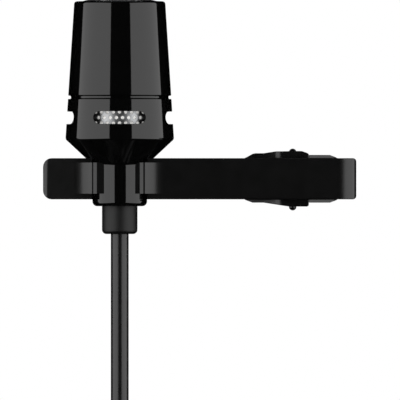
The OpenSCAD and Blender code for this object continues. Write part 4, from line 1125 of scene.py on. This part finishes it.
def plugRelief(plan):
    footHigh = nutHigh - nutPlan["cover"]
    clampHigh = footHigh - plan["foot"]
    slope = (plan["baseRadius"] - plan["tipRadius"]) / plan["length"]
    half = plan["ringSlot"] / 2
    corners = [(cordBore, plugTop, plan["mouthEdge"]), (plan["tipRadius"], plugTop, plan["tipEdge"])]
    for i in range(1, plan["rings"] + 1):
        depth = i * plan["length"] / (plan["rings"] + 1)
        bottom = plan["tipRadius"] + slope * depth - plan["ringCut"]
        corners += [
            (plan["tipRadius"] + slope * (depth - half), plugTop - depth + half, plan["ringEdge"]),
            (bottom, plugTop - depth + half, plan["ringEdge"]),
            (bottom, plugTop - depth - half, plan["ringEdge"]),
            (plan["tipRadius"] + slope * (depth + half), plugTop - depth - half, plan["ringEdge"]),
        ]
    corners += [
        (plan["baseRadius"], nutHigh),
        (plan["baseRadius"], footHigh),
        (nutPlan["bore"] - fit, footHigh, plan["footEdge"]),
        (nutPlan["bore"] - fit, clampHigh, plan["footEdge"]),
        (cordBore, clampHigh),
    ]
    outline = rounded(corners, steps=4, support=0.02)
    return place(lathe("plugRelief", outline, tailY, 96), "mic", "boot_black", bootRubber, "plug_relief")


# A turned nut with grip flutes
def plugNut(plan):
    low = nutHigh - plan["length"]
    mouth = reliefPlan["baseRadius"] + plan["mouthGap"]
    spigot = plan["shellBore"] - plan["spigotGap"]
    outline = rounded([
        (mouth, nutHigh - plan["cover"]),
        (plan["bore"], nutHigh - plan["cover"]),
        (plan["bore"], low - plan["spigot"], plan["boreEdge"]),
        (spigot, low - plan["spigot"], plugEdge),
        (spigot, low),
        (plan["radius"], low, plugEdge),
        (plan["radius"], nutHigh, plan["topEdge"]),
        (mouth, nutHigh, plugEdge),
    ], steps=5)
    obj = lathe("plugNut", outline, tailY, 144)
    clearSelection()
    reach = plan["radius"] + plan["fluteRadius"] - plan["fluteDepth"]
    bpy.ops.mesh.primitive_cylinder_add(
        vertices=24, radius=plan["fluteRadius"] * mm, depth=plan["length"] * mm,
        location=(reach * mm, tailY * mm, (low + plan["cover"] + plan["length"] / 2) * mm))
    cutter = bpy.context.object
    bpy.ops.object.transform_apply(location=True, rotation=True, scale=True)
    editAll(cutter)
    copyRound(plan["flutes"], tailY)
    bpy.ops.object.mode_set(mode="OBJECT")
    carve(obj, cutter)
    return place(smooth(obj, 40), "mic", "plug_metal", plugMetal, "plug_nut")


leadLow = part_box("plug_lead")[0][2] / mm
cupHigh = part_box("plug_contacts")[1][2] / mm
plugPieces += [
    plugRelief(reliefPlan),
    plugNut(nutPlan),
    place(softened("plugShell", "plug_shell", plugEdge), "mic", "plug_metal", plugMetal, "plug_shell"),
    place(softened("plugLatch", "plug_latch", plugEdge), "latch", "plug_plastic", latchBlack, "plug_latch"),
    cableStub("plugLead", leadLow, plugTop, tailY, "plug_lead"),
    leadWires("plugWires", "plug_wires", tailY, leadLow, cupHigh, count=4, turn=45, spread=2.2),
]

latchPlan = {
    "latchRadius": 0.5, "latchWire": 0.2, "latchTurns": 2, "latchLength": 1.35, "latchTravel": 0.6,
    "latchIn": 3.6, "turnPoints": 24,
}


# Stands on the insert's bridge
def latchSpring(plan):
    middle = (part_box("latch_spring")[0][2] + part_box("latch_spring")[1][2]) / 2 / mm
    base = tailY - plan["latchIn"] + plan["latchLength"] - plan["latchWire"] / 2 - fit
    reach = plan["latchLength"] - plan["latchWire"] - 2 * fit
    steps = plan["latchTurns"] * plan["turnPoints"]
    path = []
    for i in range(steps + 1):
        a = 2 * math.pi * i / plan["turnPoints"]
        path.append((plan["latchRadius"] * math.cos(a), base - reach * i / steps,
                     middle + plan["latchRadius"] * math.sin(a)))
    obj = wires("latchSpring", [path], plan["latchWire"])
    place(obj, "mic", "spring_steel", springSteel, "latch_spring")
    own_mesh(obj)
    return obj


plugPieces.append(latchSpring(latchPlan))
plugPieces + [nodes[name] for name in ("plug_insert", "plug_contacts", "cable_clamp")]
print("plug dressed")

# Finishes of the nodes that stay as they are
padHigh = padLow + 0.25
finishes = {
    "top_grille": steel, "port_screen": screenSteel, "capsule_carrier": mouldedGrey, "capsule_can": canMetal,
    "diaphragm_ring": brassGold, "diaphragm": filmGold, "spacer_ring": insulatorWhite, "backplate": brassGold,
    "capsule_cup": insulatorWhite, "capsule_board": boardGreen(padHigh), "transistor": plugPlastic,
    "crimp_sleeve": canMetal, "pivot_pin": pinBlack, "plug_insert": plugPlastic, "plug_contacts": brassGold,
    "cable_clamp": canMetal,
}
for name, material in finishes.items():
    for spot in nodes[name].material_slots:
        spot.material = material
floor.data.materials.append(paleFloor)
print("finishes laid on")

clearSelection()
bpy.context.view_layer.update()
